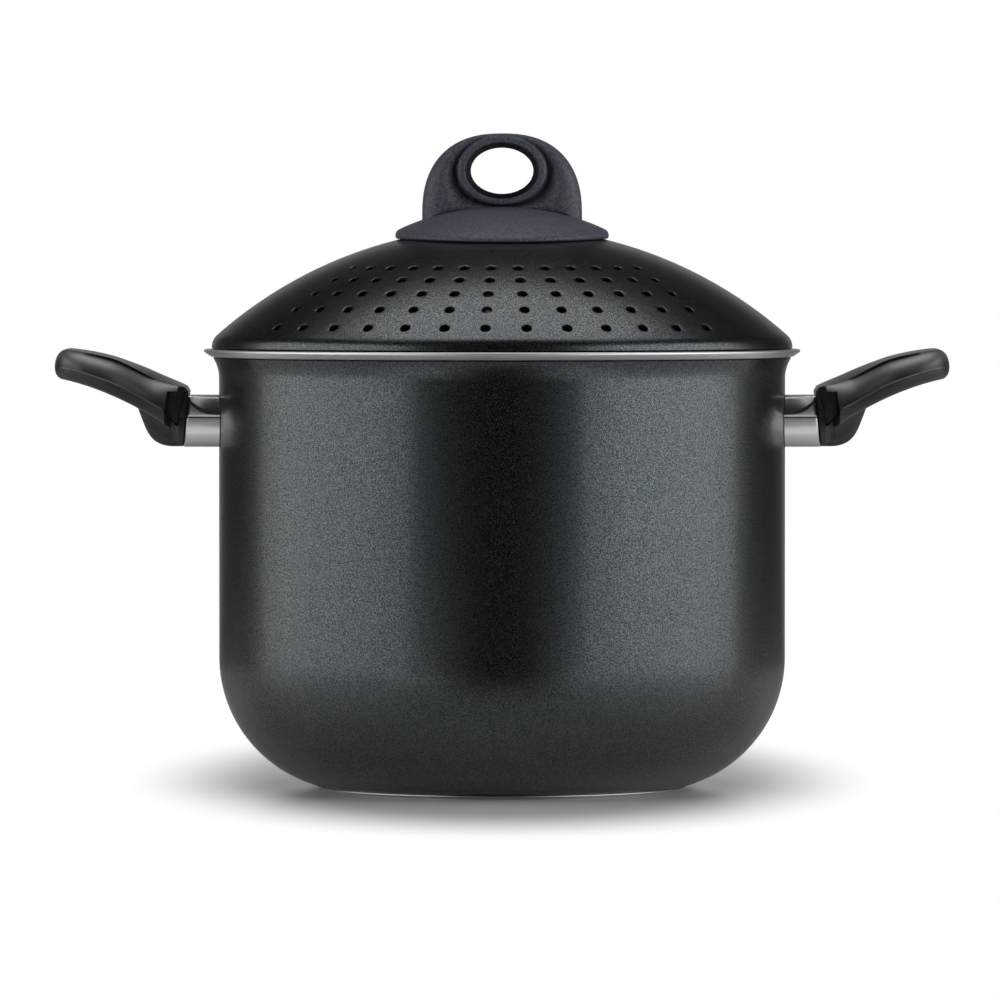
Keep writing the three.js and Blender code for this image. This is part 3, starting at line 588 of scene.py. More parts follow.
def make_pot(context):
    """Pot body: its outline turned about Z, with bare metal on the chamfer and the land of the rim."""
    sizes = context.scene.pasta_pot.pot
    rim, lip = sizes.rim_height / MM, sizes.lip_radius / MM
    profile = pot_profile(sizes)
    steps = 224
    points, faces = lathe(profile, steps)
    middle = (profile[1:] + profile[:-1]) / 2
    bare = (middle[:, 0] > lip - 3.25) & (middle[:, 1] > rim - 3.35)
    numbers = np.where(bare, 1, 0)[:, None] + np.zeros(steps, int)
    materials = [finish(context, "coat"), finish(context, "bare")]
    item = make_object("coated_pot", [(points, faces, numbers)], materials)
    dress(item, "pot", "nonstick_coat", "pot_floor", "pot_corner", "pot_wall", "pot_rim")


def make_base(context):
    """Base disc: a thin plate whose underside carries shallow turned steps, turned about Z."""
    radius = context.scene.pasta_pot.pot.base_radius / MM
    corners = [
        (0.0, 0.25), (7.0, 0.25), (7.6, 0.0), (radius - 9.0, 0.0), (radius - 8.6, 0.2), (radius - 7.6, 0.2),
        (radius - 7.2, 0.0), (radius - 0.5, 0.0), (radius, 0.4), (radius, 0.9), (0.0, 0.9),
    ]
    item = turned_piece("pot_base", corners, 0.12, finish(context, "base"), 160)
    dress(item, "pot", "bare_base", "base_disc")


# Lid

def lid_surface(sizes, rim):
    """Lid: a closed outline of dome, rounded edge and skirt turned about Z. Inside the strainer sector the
    faces give way to cells. A cell is a ring of points that runs from the cell's four-sided border to a
    circle, over a rounded edge, down the wall of the hole and back to the border on the underside."""
    dome, hole, step = sizes.dome_radius / MM, sizes.hole_radius / MM, sizes.hole_step / MM
    columns, rows, cut = sizes.hole_columns, sizes.hole_rows, 6
    thick, pad, edge_from, edge = 1.8, 32.0, 123.3, 7.0
    dome_z, low = rim - DOME_DROP, rim - 0.55
    first, pitch, turn = 78.9, 8.38, -3.4
    tilt = math.degrees(math.acos(edge_from / dome))
    edge_x = edge_from - edge * math.cos(math.radians(tilt))
    edge_z = dome_z + math.sqrt(dome**2 - edge_from**2) - edge * math.sin(math.radians(tilt))
    bounds = np.arcsin(np.minimum(first + (np.arange(rows + 1) - 0.5) * step, edge_from) / dome)
    cells = np.interp(np.arange(rows * cut + 1) / cut, np.arange(rows + 1), bounds)
    lean = np.concatenate([np.linspace(math.asin(pad / dome), bounds[0], 17)[:-1], cells])

    def shell(radius):
        return np.stack([radius * np.sin(lean), dome_z + radius * np.cos(lean)], -1)

    top, under = shell(dome), shell(dome - thick)[::-1]
    skirt_r = edge_x + edge
    pad_top, pad_low = top[0, 1], under[-1, 1]
    skirt = [
        arc(edge_x, edge_z, edge, tilt, 0.0, 14)[1:],
        eased([(skirt_r, edge_z), (skirt_r, low + 1.25), (skirt_r - 1.5, low), (skirt_r - thick, low),
               (skirt_r - thick, low + 0.9)], [0.2, 0.1, 0.1])[1:-1],
        arc(edge_x, edge_z, edge - thick, 0.0, tilt, 10)[:-1],
    ]
    hub = eased([(pad - 1.0, pad_low), (11.5, pad_low), (11.5, pad_top), (pad - 1.0, pad_top)], 0.3)
    outline = np.concatenate([top, *skirt, under, hub])
    sector = np.radians(turn + (np.arange(columns * cut + 1) / cut - columns / 2) * pitch)
    rest = np.linspace(sector[-1], sector[0] + 2.0 * math.pi, 182)[1:-1]
    along = np.concatenate([sector, rest])
    r, z = outline[:, :1], outline[:, 1:]
    points = np.stack([r * np.sin(along), -r * np.cos(along), z + 0 * along], -1).reshape(-1, 3)
    faces = quads(len(outline), len(along), wrap_rows=True, wrap_columns=True)
    kept = np.ones(faces.shape[:2], bool)
    start = len(lean) - 1 - rows * cut
    under_start = len(top) + sum(len(s) for s in skirt)
    kept[start:len(lean) - 1, :columns * cut] = False
    kept[under_start:under_start + rows * cut, :columns * cut] = False

    side = np.arange(cut) / cut
    border = np.concatenate([
        np.stack([side, 0 * side], -1),
        np.stack([1 + 0 * side, side], -1),
        np.stack([1 - side, 1 + 0 * side], -1),
        np.stack([0 * side, 1 - side], -1),
    ])
    spin = np.radians(-135.0 + 360.0 * np.arange(4 * cut) / (4 * cut))
    path = np.array([
        (0.0, hole + 0.4, 0.0), (0.4, hole + 0.4, 0.0), (0.75, hole + 0.4, 0.0), (1.0, hole + 0.4, 0.0),
        (1.0, hole + 0.2, 0.04), (1.0, hole + 0.06, 0.16), (1.0, hole, 0.4), (1.0, hole, thick - 0.3),
        (1.0, hole + 0.08, thick - 0.08), (1.0, hole + 0.3, thick), (0.75, hole + 0.3, thick),
        (0.4, hole + 0.3, thick), (0.0, hole + 0.3, thick),
    ])
    share, ring, deep = (path[:, k][None, None, :, None] for k in range(3))
    mid_lean = np.arcsin((first + np.arange(rows) * step) / dome)[None, :, None, None]
    mid_along = np.radians(turn + (np.arange(columns) - (columns - 1) / 2) * pitch)[:, None, None, None]
    low_lean, high_lean = (b[None, :, None, None] for b in (bounds[:-1], bounds[1:]))
    box_along = mid_along + (border[:, 0] - 0.5) * math.radians(pitch)
    box_lean = low_lean + border[:, 1] * (high_lean - low_lean)
    ring_along = mid_along + ring * np.cos(spin) / (dome * np.sin(mid_lean))
    ring_lean = mid_lean + ring * np.sin(spin) / dome
    a = (1 - share) * box_along + share * ring_along
    b = (1 - share) * box_lean + share * ring_lean
    radius = dome - deep + 0 * a
    cell = np.stack([radius * np.sin(b) * np.sin(a), -radius * np.sin(b) * np.cos(a),
                     dome_z + radius * np.cos(b)], -1)
    one = quads(len(path), 4 * cut, wrap_columns=True).reshape(-1, 4)
    many = one[None] + (np.arange(columns * rows) * len(path) * 4 * cut)[:, None, None]
    return [(points, faces[kept], 0), (cell.reshape(-1, 3), many.reshape(-1, 4), 0)]


def make_lid(context):
    settings = context.scene.pasta_pot
    patches = lid_surface(settings.lid, settings.pot.rim_height / MM)
    item = make_object("strainer_lid", patches, [finish(context, "coat")])
    dress(item, "lid", "nonstick_coat", "lid_shell")


# Knob

def wing_surface(sizes, rim):
    """Wing: a section carried once round the finger eye. Outwards from the eye it has the wall of the
    hole, a sunk ledge, a proud ring, a hollow, a swelling lobe and a half-round outer edge. Its reach
    in each direction is found by halving: it ends on the arch or just inside the flange."""
    crest_z, crest_r = rim + CREST_RISE, CREST_R
    arch_z, arch_half = rim + 58.0, sizes.arch_half / MM
    arch_rise = sizes.top_height / MM - arch_z
    eye_z, power, depth, lobe, lobe_at = rim + 77.1, 2.4, 9.0, 7.6, 0.48
    angle = np.linspace(0.0, 2.0 * math.pi, 224, endpoint=False)
    c, s = np.cos(angle), np.sin(angle)

    def ellipse(a, b):
        return ((c / a) ** 2 + (s / b) ** 2) ** -0.5

    near, far = np.zeros(len(angle)), np.full(len(angle), 60.0)
    for _ in range(40):
        middle = (near + far) / 2
        x, z = np.abs(middle * c), eye_z + middle * s
        rise = np.maximum(0.0, z - arch_z) / arch_rise
        cap = crest_z - crest_r + np.sqrt(crest_r**2 - np.minimum(x, 100.0) ** 2)
        inside = ((x / arch_half) ** power + rise**power < 1) & (z > cap - 2.0)
        near, far = np.where(inside, middle, near), np.where(inside, far, middle)
    reach = near
    hole, face_in, face_out = ellipse(13.5, 9.95), ellipse(15.8, 12.1), ellipse(19.3, 14.8)
    valley = 3.6 + np.where(s > 0, 4.8, 3.0) * s
    foot = face_out + 0.5
    ring = np.stack([
        np.stack([hole, 0 * hole], -1),
        np.stack([hole, 0 * hole + depth - 7.6], -1),
        np.stack([face_in - 0.2, 0 * hole + depth - 7.4], -1),
        np.stack([face_in, 0 * hole + depth], -1),
        np.stack([face_out - 0.3, 0 * hole + depth], -1),
        np.stack([foot, valley], -1),
        np.stack([foot + 0.08 * (reach - foot), valley + 0.2], -1),
    ], -2)
    ring = eased(ring, [0.4, 0.3, 0.7, 1.3, 0.7], 5)[:, :-1]
    q = np.concatenate([np.linspace(0.1, 0.6, 14), 1 - 0.4 * np.cos(np.linspace(0.1, math.pi / 2, 18))])
    rising = np.sin(np.minimum(q / lobe_at, 1.0) * math.pi / 2)
    falling = np.maximum(0.0, (q - lobe_at) / (1 - lobe_at))
    height = (valley[:, None] + (lobe - valley[:, None]) * rising) * np.sqrt(1 - falling**2)
    outer = np.stack([foot[:, None] + (reach - foot)[:, None] * q, height], -1)
    half = np.concatenate([ring, outer], 1)
    back = (half * np.array([1.0, -1.0]))[:, -2:0:-1]
    section = np.concatenate([half, back], 1)
    r, y = section[..., 0], section[..., 1]
    points = np.stack([r * c[:, None], y, eye_z + r * s[:, None]], -1)
    return points.reshape(-1, 3), quads(len(angle), section.shape[1], wrap_rows=True, wrap_columns=True)


def flange_surface(sizes, rim):
    """Flange and stem: an outline of a shallow cap, a rounded rim, a hollow underside and a stem turned
    about Z. Outside the stem the radius grows towards the front and back until the rim is an ellipse, and
    each point keeps its share of the height between the lid and the cap. The stem's end is square: there
    the radius is divided by the larger of |cos| and |sin|."""
    crest_z, crest_r = rim + CREST_RISE, CREST_R
    edge, front, inner, gap = sizes.flange_radius / MM, 51.8, 17.0, 0.3

    def cap(r):
        return crest_z - crest_r + np.sqrt(crest_r**2 - r**2)

    def dome(r):
        return rim - DOME_DROP + gap + np.sqrt(DOME_R**2 - r**2)

    r = np.linspace(0.0, edge - 2.8, 26)
    top = np.stack([r, cap(r)], -1)
    r = np.linspace(edge - 5.4, inner, 10)
    under = np.stack([r, cap(r) - 4.0], -1)
    rim_corners = [
        top[-1], (edge - 0.7, cap(edge) + 0.2), (edge, cap(edge) - 1.3), (edge, dome(edge) + 1.0),
        (edge - 0.9, dome(edge) + 0.15), (edge - 4.8, dome(edge - 4.8) + 0.2), under[0],
    ]
    stem_corners = [
        under[-1], (inner, rim + 51.65), (9.5, rim + 51.65), (9.5, rim + 46.65), (6.0, rim + 46.6),
    ]
    edge_line = eased(rim_corners, 1.3, 6)[1:-1]
    stem = eased(stem_corners, 0.4, 3)[1:]
    profile = np.concatenate([top, edge_line, under, stem, [(6.0, rim + 43.2), (0.0, rim + 43.2)]])
    steps = 160
    points, faces = lathe(profile, steps)
    angle = np.linspace(0.0, 2.0 * math.pi, steps, endpoint=False)
    square = 1.0 / np.maximum(np.abs(np.cos(angle)), np.abs(np.sin(angle)))
    grid = points.reshape(len(profile), steps, 3)
    grid[-3:-1, :, :2] *= square[:, None]
    oval = ((np.cos(angle) / edge) ** 2 + (np.sin(angle) / front) ** 2) ** -0.5
    r, z = profile[:, :1], profile[:, 1:]
    outside = np.maximum(0.0, r - inner)
    grown = r + outside * (oval - edge) / (edge - inner)
    share = (z - dome(r)) / (cap(r) - dome(r))
    lifted = dome(grown) + share * (cap(grown) - dome(grown))
    grid[..., :2] *= (grown / np.maximum(r, 1e-6))[..., None]
    grid[..., 2] = np.where(outside > 0.0, lifted, grid[..., 2])
    return grid.reshape(-1, 3), faces


def make_knob(context):
    settings = context.scene.pasta_pot
    rim = settings.pot.rim_height / MM
    wing, wing_faces = wing_surface(settings.knob, rim)
    flange, flange_faces = flange_surface(settings.knob, rim)
    patches = [(wing, wing_faces, 0), (flange, flange_faces, 0)]
    item = make_object("winged_knob", patches, [finish(context, "knob")])
    dress(item, "knob", "knob_plastic", "twist_knob")


# Pivot stack

def screw_head(low, high, top, head, shank, tip, steps=64):
    """Screw: head and shank turned about Z from a closed outline. The middle of its face sinks by a cross
    recess, a depth times the larger of two soft bars, one along each axis."""
    r = np.linspace(0.0, top, 16)
    face = np.stack([r, np.full(16, low)], -1)
    corners = [(top, low), (head, low + 1.3), (head, high), (shank, high), (shank, tip), (0.0, tip)]
    rest = eased(corners, 0.25)
    profile = np.concatenate([face, rest[1:]])
    points, faces = lathe(profile, steps)
    x, y = np.abs(points[:, 0]), np.abs(points[:, 1])
    bar_x = (1 - smooth(0.45, 0.65, y)) * (1 - smooth(0.55 * top, 0.7 * top, x))
    bar_y = (1 - smooth(0.45, 0.65, x)) * (1 - smooth(0.55 * top, 0.7 * top, y))
    on_face = points[:, 2] < low + 0.01
    points[:, 2] += np.where(on_face, 1.5 * np.maximum(bar_x, bar_y), 0.0)
    return points, faces


def make_stack(context):
    """Bush, seal, spring washer, washer, screw and insert on the knob's stem."""
    rim = context.scene.pasta_pot.pot.rim_height / MM
    pad = rim + 50.13
    rings = (
        ("pivot_bushing", "bush", 0.25, "lid", "bush_plastic", "pivot_bush",
         [(9.8, -3.5), (15.0, -3.5), (15.0, -2.1), (11.2, -2.1), (11.2, 0.0), (9.8, 0.0)]),
        ("knob_ring_seal", "seal", 0.35, "lid", "seal_rubber", "knob_seal",
         [(12.0, 0.3), (16.2, 0.3), (16.2, 1.2), (12.0, 1.2)]),
        ("cone_spring", "fastener", 0.12, "knob", "fastener_steel", "spring_washer",
         [(9.9, -4.2), (15.0, -4.6), (15.0, -4.2), (9.9, -3.8)]),
        ("knob_flat_washer", "fastener", 0.25, "knob", "fastener_steel", "knob_washer",
         [(2.8, -8.6), (9.0, -8.6), (9.0, -7.2), (2.8, -7.2)]),
        ("threaded_insert", "brass", 0.25, "knob", "insert_brass", "knob_insert",
         [(2.7, -6.6), (4.3, -6.6), (4.3, 4.8), (2.7, 4.8)]),
    )
    for name, look, setback, body, slot, node, corners in rings:
        outline = [(r, pad + z) for r, z in [*corners, corners[0]]]
        dress(turned_piece(name, outline, setback, finish(context, look)), body, slot, node)
    points, faces = screw_head(pad - 11.9, pad - 8.9, 3.6, 5.0, 2.4, pad + 3.9)
    item = make_object("knob_cross_screw", [(points, faces, 0)], [finish(context, "fastener")])
    dress(item, "knob", "fastener_steel", "knob_screw")


# Lock

def bar_edge(rim, inset):
    """One arm of the lock bar from its hub to its foot, as distances from the axis and heights: an arc
    under the dome, a bend, a straight leg, a small bend and a flat foot."""
    dome_z = rim - DOME_DROP
    radius, bend, at, foot_bend, foot_top, tip = 179.0, 8.0, 98.7, 1.5, rim - 10.2, 112.3
    lean = math.degrees(math.asin(at / radius))
    start = math.degrees(math.asin(20.0 / radius))
    bend_x = (radius - bend) * math.sin(math.radians(lean))
    bend_z = dome_z + (radius - bend) * math.cos(math.radians(lean))
    foot_x, foot_z = bend_x + bend + foot_bend, foot_top + foot_bend
    return np.concatenate([
        arc(0.0, dome_z, radius - inset, 90.0 - start, 90.0 - lean, 36),
        arc(bend_x, bend_z, bend - inset, 90.0 - lean, 0.0, 12)[1:],
        line((bend_x + bend - inset, bend_z), (foot_x - foot_bend - inset, foot_z), 10)[1:],
        arc(foot_x, foot_z, foot_bend + inset, 180.0, 270.0, 8)[1:],
        line((foot_x, foot_top - inset), (tip, foot_top - inset), 6)[1:],
    ])


def bar_surface(rim):
    """Lock bar: a flat strip carried along the arm's path on both sides of a hub. The hub is a ring from a
    square hole to a circle, and each arm starts on the circle between -30 and 30 degrees."""
    thick, hub, half, opening, round_ = 2.0, 16.0, 8.0, 6.3, 0.45
    top = rim + 45.23
    spins = 96
    spin = np.linspace(0.0, 2.0 * math.pi, spins, endpoint=False)
    square = opening / np.maximum(np.abs(np.cos(spin)), np.abs(np.sin(spin)))
    square = np.minimum(square, opening * 1.36)
    share = np.array([0.0, 0.03, 0.5, 0.94, 0.985, 1.0])[:, None]
    drop = np.array([0.35, 0.0, 0.0, 0.0, 0.12, 0.45])[:, None]
    r = square + (hub - square) * share
    upper = np.stack([r * np.cos(spin), r * np.sin(spin), top - drop + 0 * r], -1)
    lower = np.stack([r * np.cos(spin), r * np.sin(spin), top - thick + drop + 0 * r], -1)[::-1]
    ring = np.concatenate([upper, lower])
    ring_faces = quads(len(ring), spins, wrap_rows=True, wrap_columns=True)

    over, under = bar_edge(rim, 0.0), bar_edge(rim, thick)
    over = np.concatenate([[(13.0, top), (16.5, top)], over])
    under = np.concatenate([[(13.0, top - thick), (16.5, top - thick)], under])
    across = np.concatenate([[-half, -half + 0.12], np.linspace(-half + round_, half - round_, 9),
                             [half - 0.12, half]])
    ease = np.array([round_, 0.12, *[0.0] * 9, 0.12, round_])
    slope = (under - over) / thick

    def face(edge, way):
        """Edge line moved along the thickness near the sides, so that they are rounded."""
        r = edge[:, None, 0] + way * slope[:, None, 0] * ease
        z = edge[:, None, 1] + way * slope[:, None, 1] * ease
        return np.stack([across + 0 * r, r, z], -1)

    loop = np.concatenate([face(over, 1.0), face(under, -1.0)[:, ::-1]], 1)
    ends = np.stack([loop[-1] * 1.0, np.broadcast_to(loop[-1].mean(0), loop[-1].shape)])
    ends[0, :, 1] += 0.25
    rows = np.concatenate([loop, ends])
    arm = rows.reshape(-1, 3)
    arm_faces = quads(len(rows), loop.shape[1], wrap_columns=True)
    return [(ring.reshape(-1, 3), ring_faces, 0), (arm, arm_faces, 0), (half_turn(arm), arm_faces, 0)]


def make_bar(context):
    rim = context.scene.pasta_pot.pot.rim_height / MM
    item = make_object("bent_lock_bar", bar_surface(rim), [finish(context, "brushed")])
    dress(item, "knob", "stamped_steel", "lock_bar")


def carried(stations):
    """Closed section carried along stations: every station holds the loop's points, and both ends close on
    the middle of their loop."""
    middles = np.broadcast_to(stations.mean(1, keepdims=True), stations.shape)
    rows = np.concatenate([middles[:1], stations, middles[-1:]])
    return rows.reshape(-1, 3), quads(*rows.shape[:2], wrap_columns=True)


def keeper_surface(rim):
    """Keeper: an L-shaped section of plate and ledge carried along an arc of the wall, and a stop plate at
    one end of it."""
    top, low, outer, thick, ledge = rim - 7.3, rim - 41.0, 119.7, 1.5, 106.0
    inner = outer - thick
    corners = [
        (inner, low), (outer, low), (outer, top), (ledge, top), (ledge, top - thick), (inner, top - thick),
        (inner, low),
    ]
    section = eased(corners, [0.5, 1.6, 0.5, 0.5, 0.4])[:-1]
    angle = np.radians(np.linspace(-7.0, 7.0, 25))[:, None]
    r, z = section[:, 0], section[:, 1]
    stations = np.stack([r * np.cos(angle), r * np.sin(angle), z + 0 * angle], -1)
    plate = carried(stations)
    y = np.array([-0.75, -0.6, -0.3, 0.3, 0.6, 0.75])[:, None]
    shrink = np.array([0.4, 0.1, 0.0, 0.0, 0.1, 0.4])[:, None]
    stop_low, stop_top, stop_out, stop_mid = rim - 16.0, rim - 8.1, 118.9, 114.0
    stop = eased([(stop_mid, stop_low), (stop_out, stop_low), (stop_out, stop_top), (ledge, stop_top),
                  (ledge, stop_low), (stop_mid, stop_low)], 0.8)[:-1]
    mid = stop.mean(0)
    away = (stop - mid) / np.linalg.norm(stop - mid, axis=1, keepdims=True)
    x = stop[:, 0] - away[:, 0] * shrink
    z = stop[:, 1] - away[:, 1] * shrink
    tab = carried(np.stack([x, y - 9.6 + 0 * x, z], -1))
    return plate, tab


def make_keepers(context):
    rim = context.scene.pasta_pot.pot.rim_height / MM
    surfaces = keeper_surface(rim)
    make_pair("keeper_plate", surfaces, finish(context, "brushed"), "stamped_steel", "lock_keeper")


# Handles

def make_fixings(context):
    """Studs through the wall, and the screws and washers in the grips."""
    height = context.scene.pasta_pot.pot.rim_height / MM - HANDLE_DROP
    stud = eased([
        (0.0, 115.4), (6.2, 115.45), (8.0, 116.6), (8.0, 117.5), (4.0, 117.5), (4.0, 122.9), (7.0, 122.9),
        (7.0, 125.0), (5.0, 125.0), (5.0, 131.0), (2.7, 131.0), (2.7, 121.0), (0.0, 121.0),
    ], [0.9, 0.6, 0.2, 0.3, 0.3, 0.3, 0.3, 0.3, 0.3, 0.3, 0.3])
    washer = eased([(2.8, 145.9), (4.7, 145.9), (4.7, 146.9), (2.8, 146.9), (2.8, 145.9)], 0.2)
    screw, screw_faces = screw_head(-150.1, -147.2, 3.2, 4.5, 2.4, -123.0, 48)
    screw = screw * np.array([1.0, 1.0, -1.0])
    pieces = {"stud": lathe(stud, 64), "washer": lathe(washer, 64), "screw": (screw, screw_faces)}
    for name, (points, faces) in pieces.items():
        laid = [(lay_along_x(points, height), faces)]
        make_pair(f"grip_{name}", laid, finish(context, "fastener"), "fastener_steel", f"handle_{name}")


def guard_surface(sizes):
    """Flame guard: a section with eased corners carried along X from the curved wall, x = sqrt(R^2 - y^2),
    to the sloping end of the grip, folded over a rounded edge and carried back inside. The section is
    widest at a line that climbs outwards, leans in above it, curves in below it and has a fine groove."""
    tall, groove, thick = 11.15, 2.0, 1.2
    wall = sizes.wall_radius / MM + 0.3
    height = sizes.rim_height / MM - HANDLE_DROP
    inset = np.array([0.0] * 12 + [0.08, 0.3, 0.6, 0.9, 1.1, thick, thick, thick])
    along = np.concatenate([np.linspace(0.0, 0.975, 12), [0.993, 1.0, 1.0, 1.0, 0.993, 0.975, 0.5, 0.0]])
    widest = 3.0 + 6.5 * along**2.2
    half = 16.2 - 1.3 * along
    at_top, at_groove = half - 0.42 * (tall - widest), half - 0.05 * (widest - groove)
    corners = [
        (0 * half, tall), (at_top, tall), (half, widest), (at_groove, groove + 0.4),
        (at_groove - 0.25, groove), (at_groove - 0.05, groove - 0.4), (at_groove - 0.5, -4.0),
        (at_groove - 1.9, -8.6), (at_groove - 3.9, -tall), (0 * half, -tall),
    ]
    corners = np.stack([np.stack(np.broadcast_arrays(*corner), -1) for corner in corners], 1)
    right = eased(corners, [1.6, 1.0, 0.2, 0.2, 0.2, 2.2, 1.5, 1.5], 5)
    loop = np.concatenate([right, (right * np.array([-1.0, 1.0]))[:, -2:0:-1]], 1)
    y = loop[..., 0] * (1 - inset / half)[:, None]
    z = loop[..., 1] * (1 - inset / tall)[:, None]
    start = np.sqrt(wall**2 - y**2)
    collar_out, collar_z = COLLAR_TOP
    end = sizes.wall_radius / MM + collar_out + COLLAR_LEAN * (z - HANDLE_DROP - collar_z) - 0.3
    x = start + (end - start) * along[:, None]
    points = np.stack([x, y, z + height], -1)
    return points.reshape(-1, 3), quads(len(inset), loop.shape[1], wrap_rows=True, wrap_columns=True)


def make_guards(context):
    sleeve = guard_surface(context.scene.pasta_pot.pot)
    make_pair("guard_sleeve", [sleeve], finish(context, "polished"), "polished_steel", "flame_guard")


def grip_surface(sizes, pot):
    """Grip: a section carried outwards from the sloping collar to the round end. The upper side is a curved
    crest that falls away to both sides, the lower side a curved blade with a boss let down from its middle,
    and each rolls over to a line two thirds down, z = line + rise sqrt(1 - (1 - inset / edge)^2). The width
    grows at a shoulder, which the upper side reaches sooner, so that it roofs a pocket in each side of the
    neck. A leaf of a slit, undercut and with a step down beyond it, runs along each half of the top, and a
    fine parting ridge follows the line."""
    wall, rim = pot.wall_radius / MM, pot.rim_height / MM
    end, wide = sizes.reach / MM - wall, sizes.half_width / MM
    rows, samples = 100, 260
    share = np.linspace(0.0, 1.0, rows)
    blade_out = 24.6 + (end - 24.6) * np.sin(share * math.pi / 2)
    out = np.concatenate([14.1 + 10.5 * share[:-1], blade_out])[:, None]
    collar, neck = 1 - smooth(16.0, 19.0, out), 1 - smooth(14.1, 27.0, out)
    neck_half, wider, foot, pocket_half = 15.5, 14.5, COLLAR_FOOT[1], 13.0
    shoulder = smooth(20.2, 22.9, out)
    spread = neck_half + wider * shoulder + (wide - neck_half - wider) * smooth(24.0, 52.0, out)
    roof = spread + wider * (smooth(13.0, 18.5, out) - shoulder)
    tip = np.maximum(0.0, (out - 39.0) / (end - 39.0))
    round_end = np.maximum(0.0, 1 - tip**4) ** 0.25
    half, half_top = spread * round_end, roof * round_end
    v = np.sin(np.linspace(-math.pi / 2, math.pi / 2, samples))
    knee = np.minimum(13.6, 0.9 * half)
    beyond = np.maximum(0.0, 2.0 * np.abs(v) - 1.0)
    y_top = half_top * v
    y_low = np.sign(v) * (knee * np.minimum(1.0, 2.0 * np.abs(v)) + (half - knee) * beyond)
    fall = (4.6 - 4.0 * smooth(26.0, 46.0, out)) * smooth(12.5, 28.0, out)
    crown = through([(14.5, -16.4), (40.5, -4.7), (66.4, 0.5)], out) - 1.2 * (1 - smooth(14.1, 15.8, out))
    blade = through([(35.3, -25.1), (53.5, -16.9), (69.0, -12.6)], out)
    leaf = np.sqrt(np.sin(math.pi * np.clip((out - 27.0) / 30.5, 0.0, 1.0)))
    t = np.linspace(0.0, 1.0, 60)[:, None]
    knots = np.array([(18.5, foot), (30.0, foot), (30.8, -35.5), (34.6, -26.0)])
    weights = np.concatenate([(1 - t) ** 3, 3 * t * (1 - t) ** 2, 3 * t * t * (1 - t), t**3], 1)
    curve = weights @ knots
    boss = np.interp(out, [14.0, *curve[:, 0], 36.0, end], [foot, *curve[:, 1], -20.0, 0.0])
    beside = np.clip(np.abs(y_low) - 10.2, 0.0, 2.8)
    boss_y = boss + 2.8 - np.sqrt(2.8**2 - beside**2)
    inner = 1 - smooth(12.4, 13.6, np.abs(y_low))

    def section(y, widest):
        """Slit, top, parting line and underside at distances from the grip's middle."""
        aside = (y / widest) ** 2
        slit = (np.abs(y) - widest + 7.0) / (0.8 * leaf + 1e-3)
        top = crown - fall * aside - 0.8 * leaf * smooth(-1.0, 1.0, slit)
        under = blade + 0.8 * aside
        under = under - collar * (under + 41.4)
        return slit, top, top - (0.64 - 0.14 * collar) * (top - under), under

    def roll(inset, edge):
        """Share of the height left near the sides and the end."""
        side = np.maximum(0.0, 1 - inset / (edge + (2.8 - edge) * neck))
        last = np.maximum(0.0, 1 - (end - out) / (0.72 * edge))
        return np.sqrt(np.maximum(0.0, (1 - side**2) * (1 - last**2)))

    def joined(above, below):
        """One loop of points along the upper side and back along the lower one."""
        return np.concatenate([above, below[:, ::-1][:, 1:-1]], 1)

    slit, top, middle, _ = section(y_top, roof)
    _, _, middle_low, under = section(y_low, spread)
    upper = middle + (top - middle) * roll(half_top - np.abs(y_top), 9.0)
    lower = middle_low - (middle_low - under) * roll(half - np.abs(y_low), 5.5)
    lower = lower + inner * np.minimum(0.0, boss_y - lower)
    groove = leaf * np.clip(1 - slit**2, 0.0, 1.0)
    y_loop = joined(y_top - np.sign(y_top) * 2.6 * groove, y_low)
    z_loop = joined(upper - 0.7 * groove, lower)
    low_in = np.interp(z_loop, [-32.6, -25.4, -18.0], [16.9, 16.3, 14.6])
    high_in = np.interp(z_loop, [-33.0, -27.9, -19.0], [18.0, 23.0, 22.0])
    pocket = smooth(0.0, 0.7, out - low_in) * smooth(0.0, 0.7, high_in - out)
    pocket = pocket * smooth(0.0, 0.7, -18.0 - z_loop) * smooth(0.0, 0.7, z_loop + 33.0)
    excess = np.maximum(0.0, np.abs(y_loop) - pocket_half)
    y_loop = y_loop - np.sign(y_loop) * excess * pocket
    parting = joined(middle, middle_low)
    ridge = np.exp(-((z_loop - parting) / 0.32) ** 2) * smooth(0.75, 0.9, np.abs(y_loop) / (half + 1e-6))
    ridge = ridge * smooth(22.0, 25.0, out) * (1 - smooth(66.0, 71.0, out))
    y_loop = y_loop + np.sign(y_loop) * 0.35 * ridge
    x_loop = out + COLLAR_LEAN * (z_loop + 30.4) * (1 - smooth(14.1, 26.0, out))
    body = np.stack([wall + x_loop, y_loop, rim + z_loop], -1)
    centre = body[:1].mean(1, keepdims=True)
    inwards = [centre + (body[:1] - centre) * share for share in (0.0, 0.5, 0.955, 0.985)]
    first = body[:1].copy()
    first[..., 0] += 0.35
    rows_all = np.concatenate([*inwards, first, body[1:]])
    return rows_all.reshape(-1, 3), quads(len(rows_all), body.shape[1], wrap_columns=True)


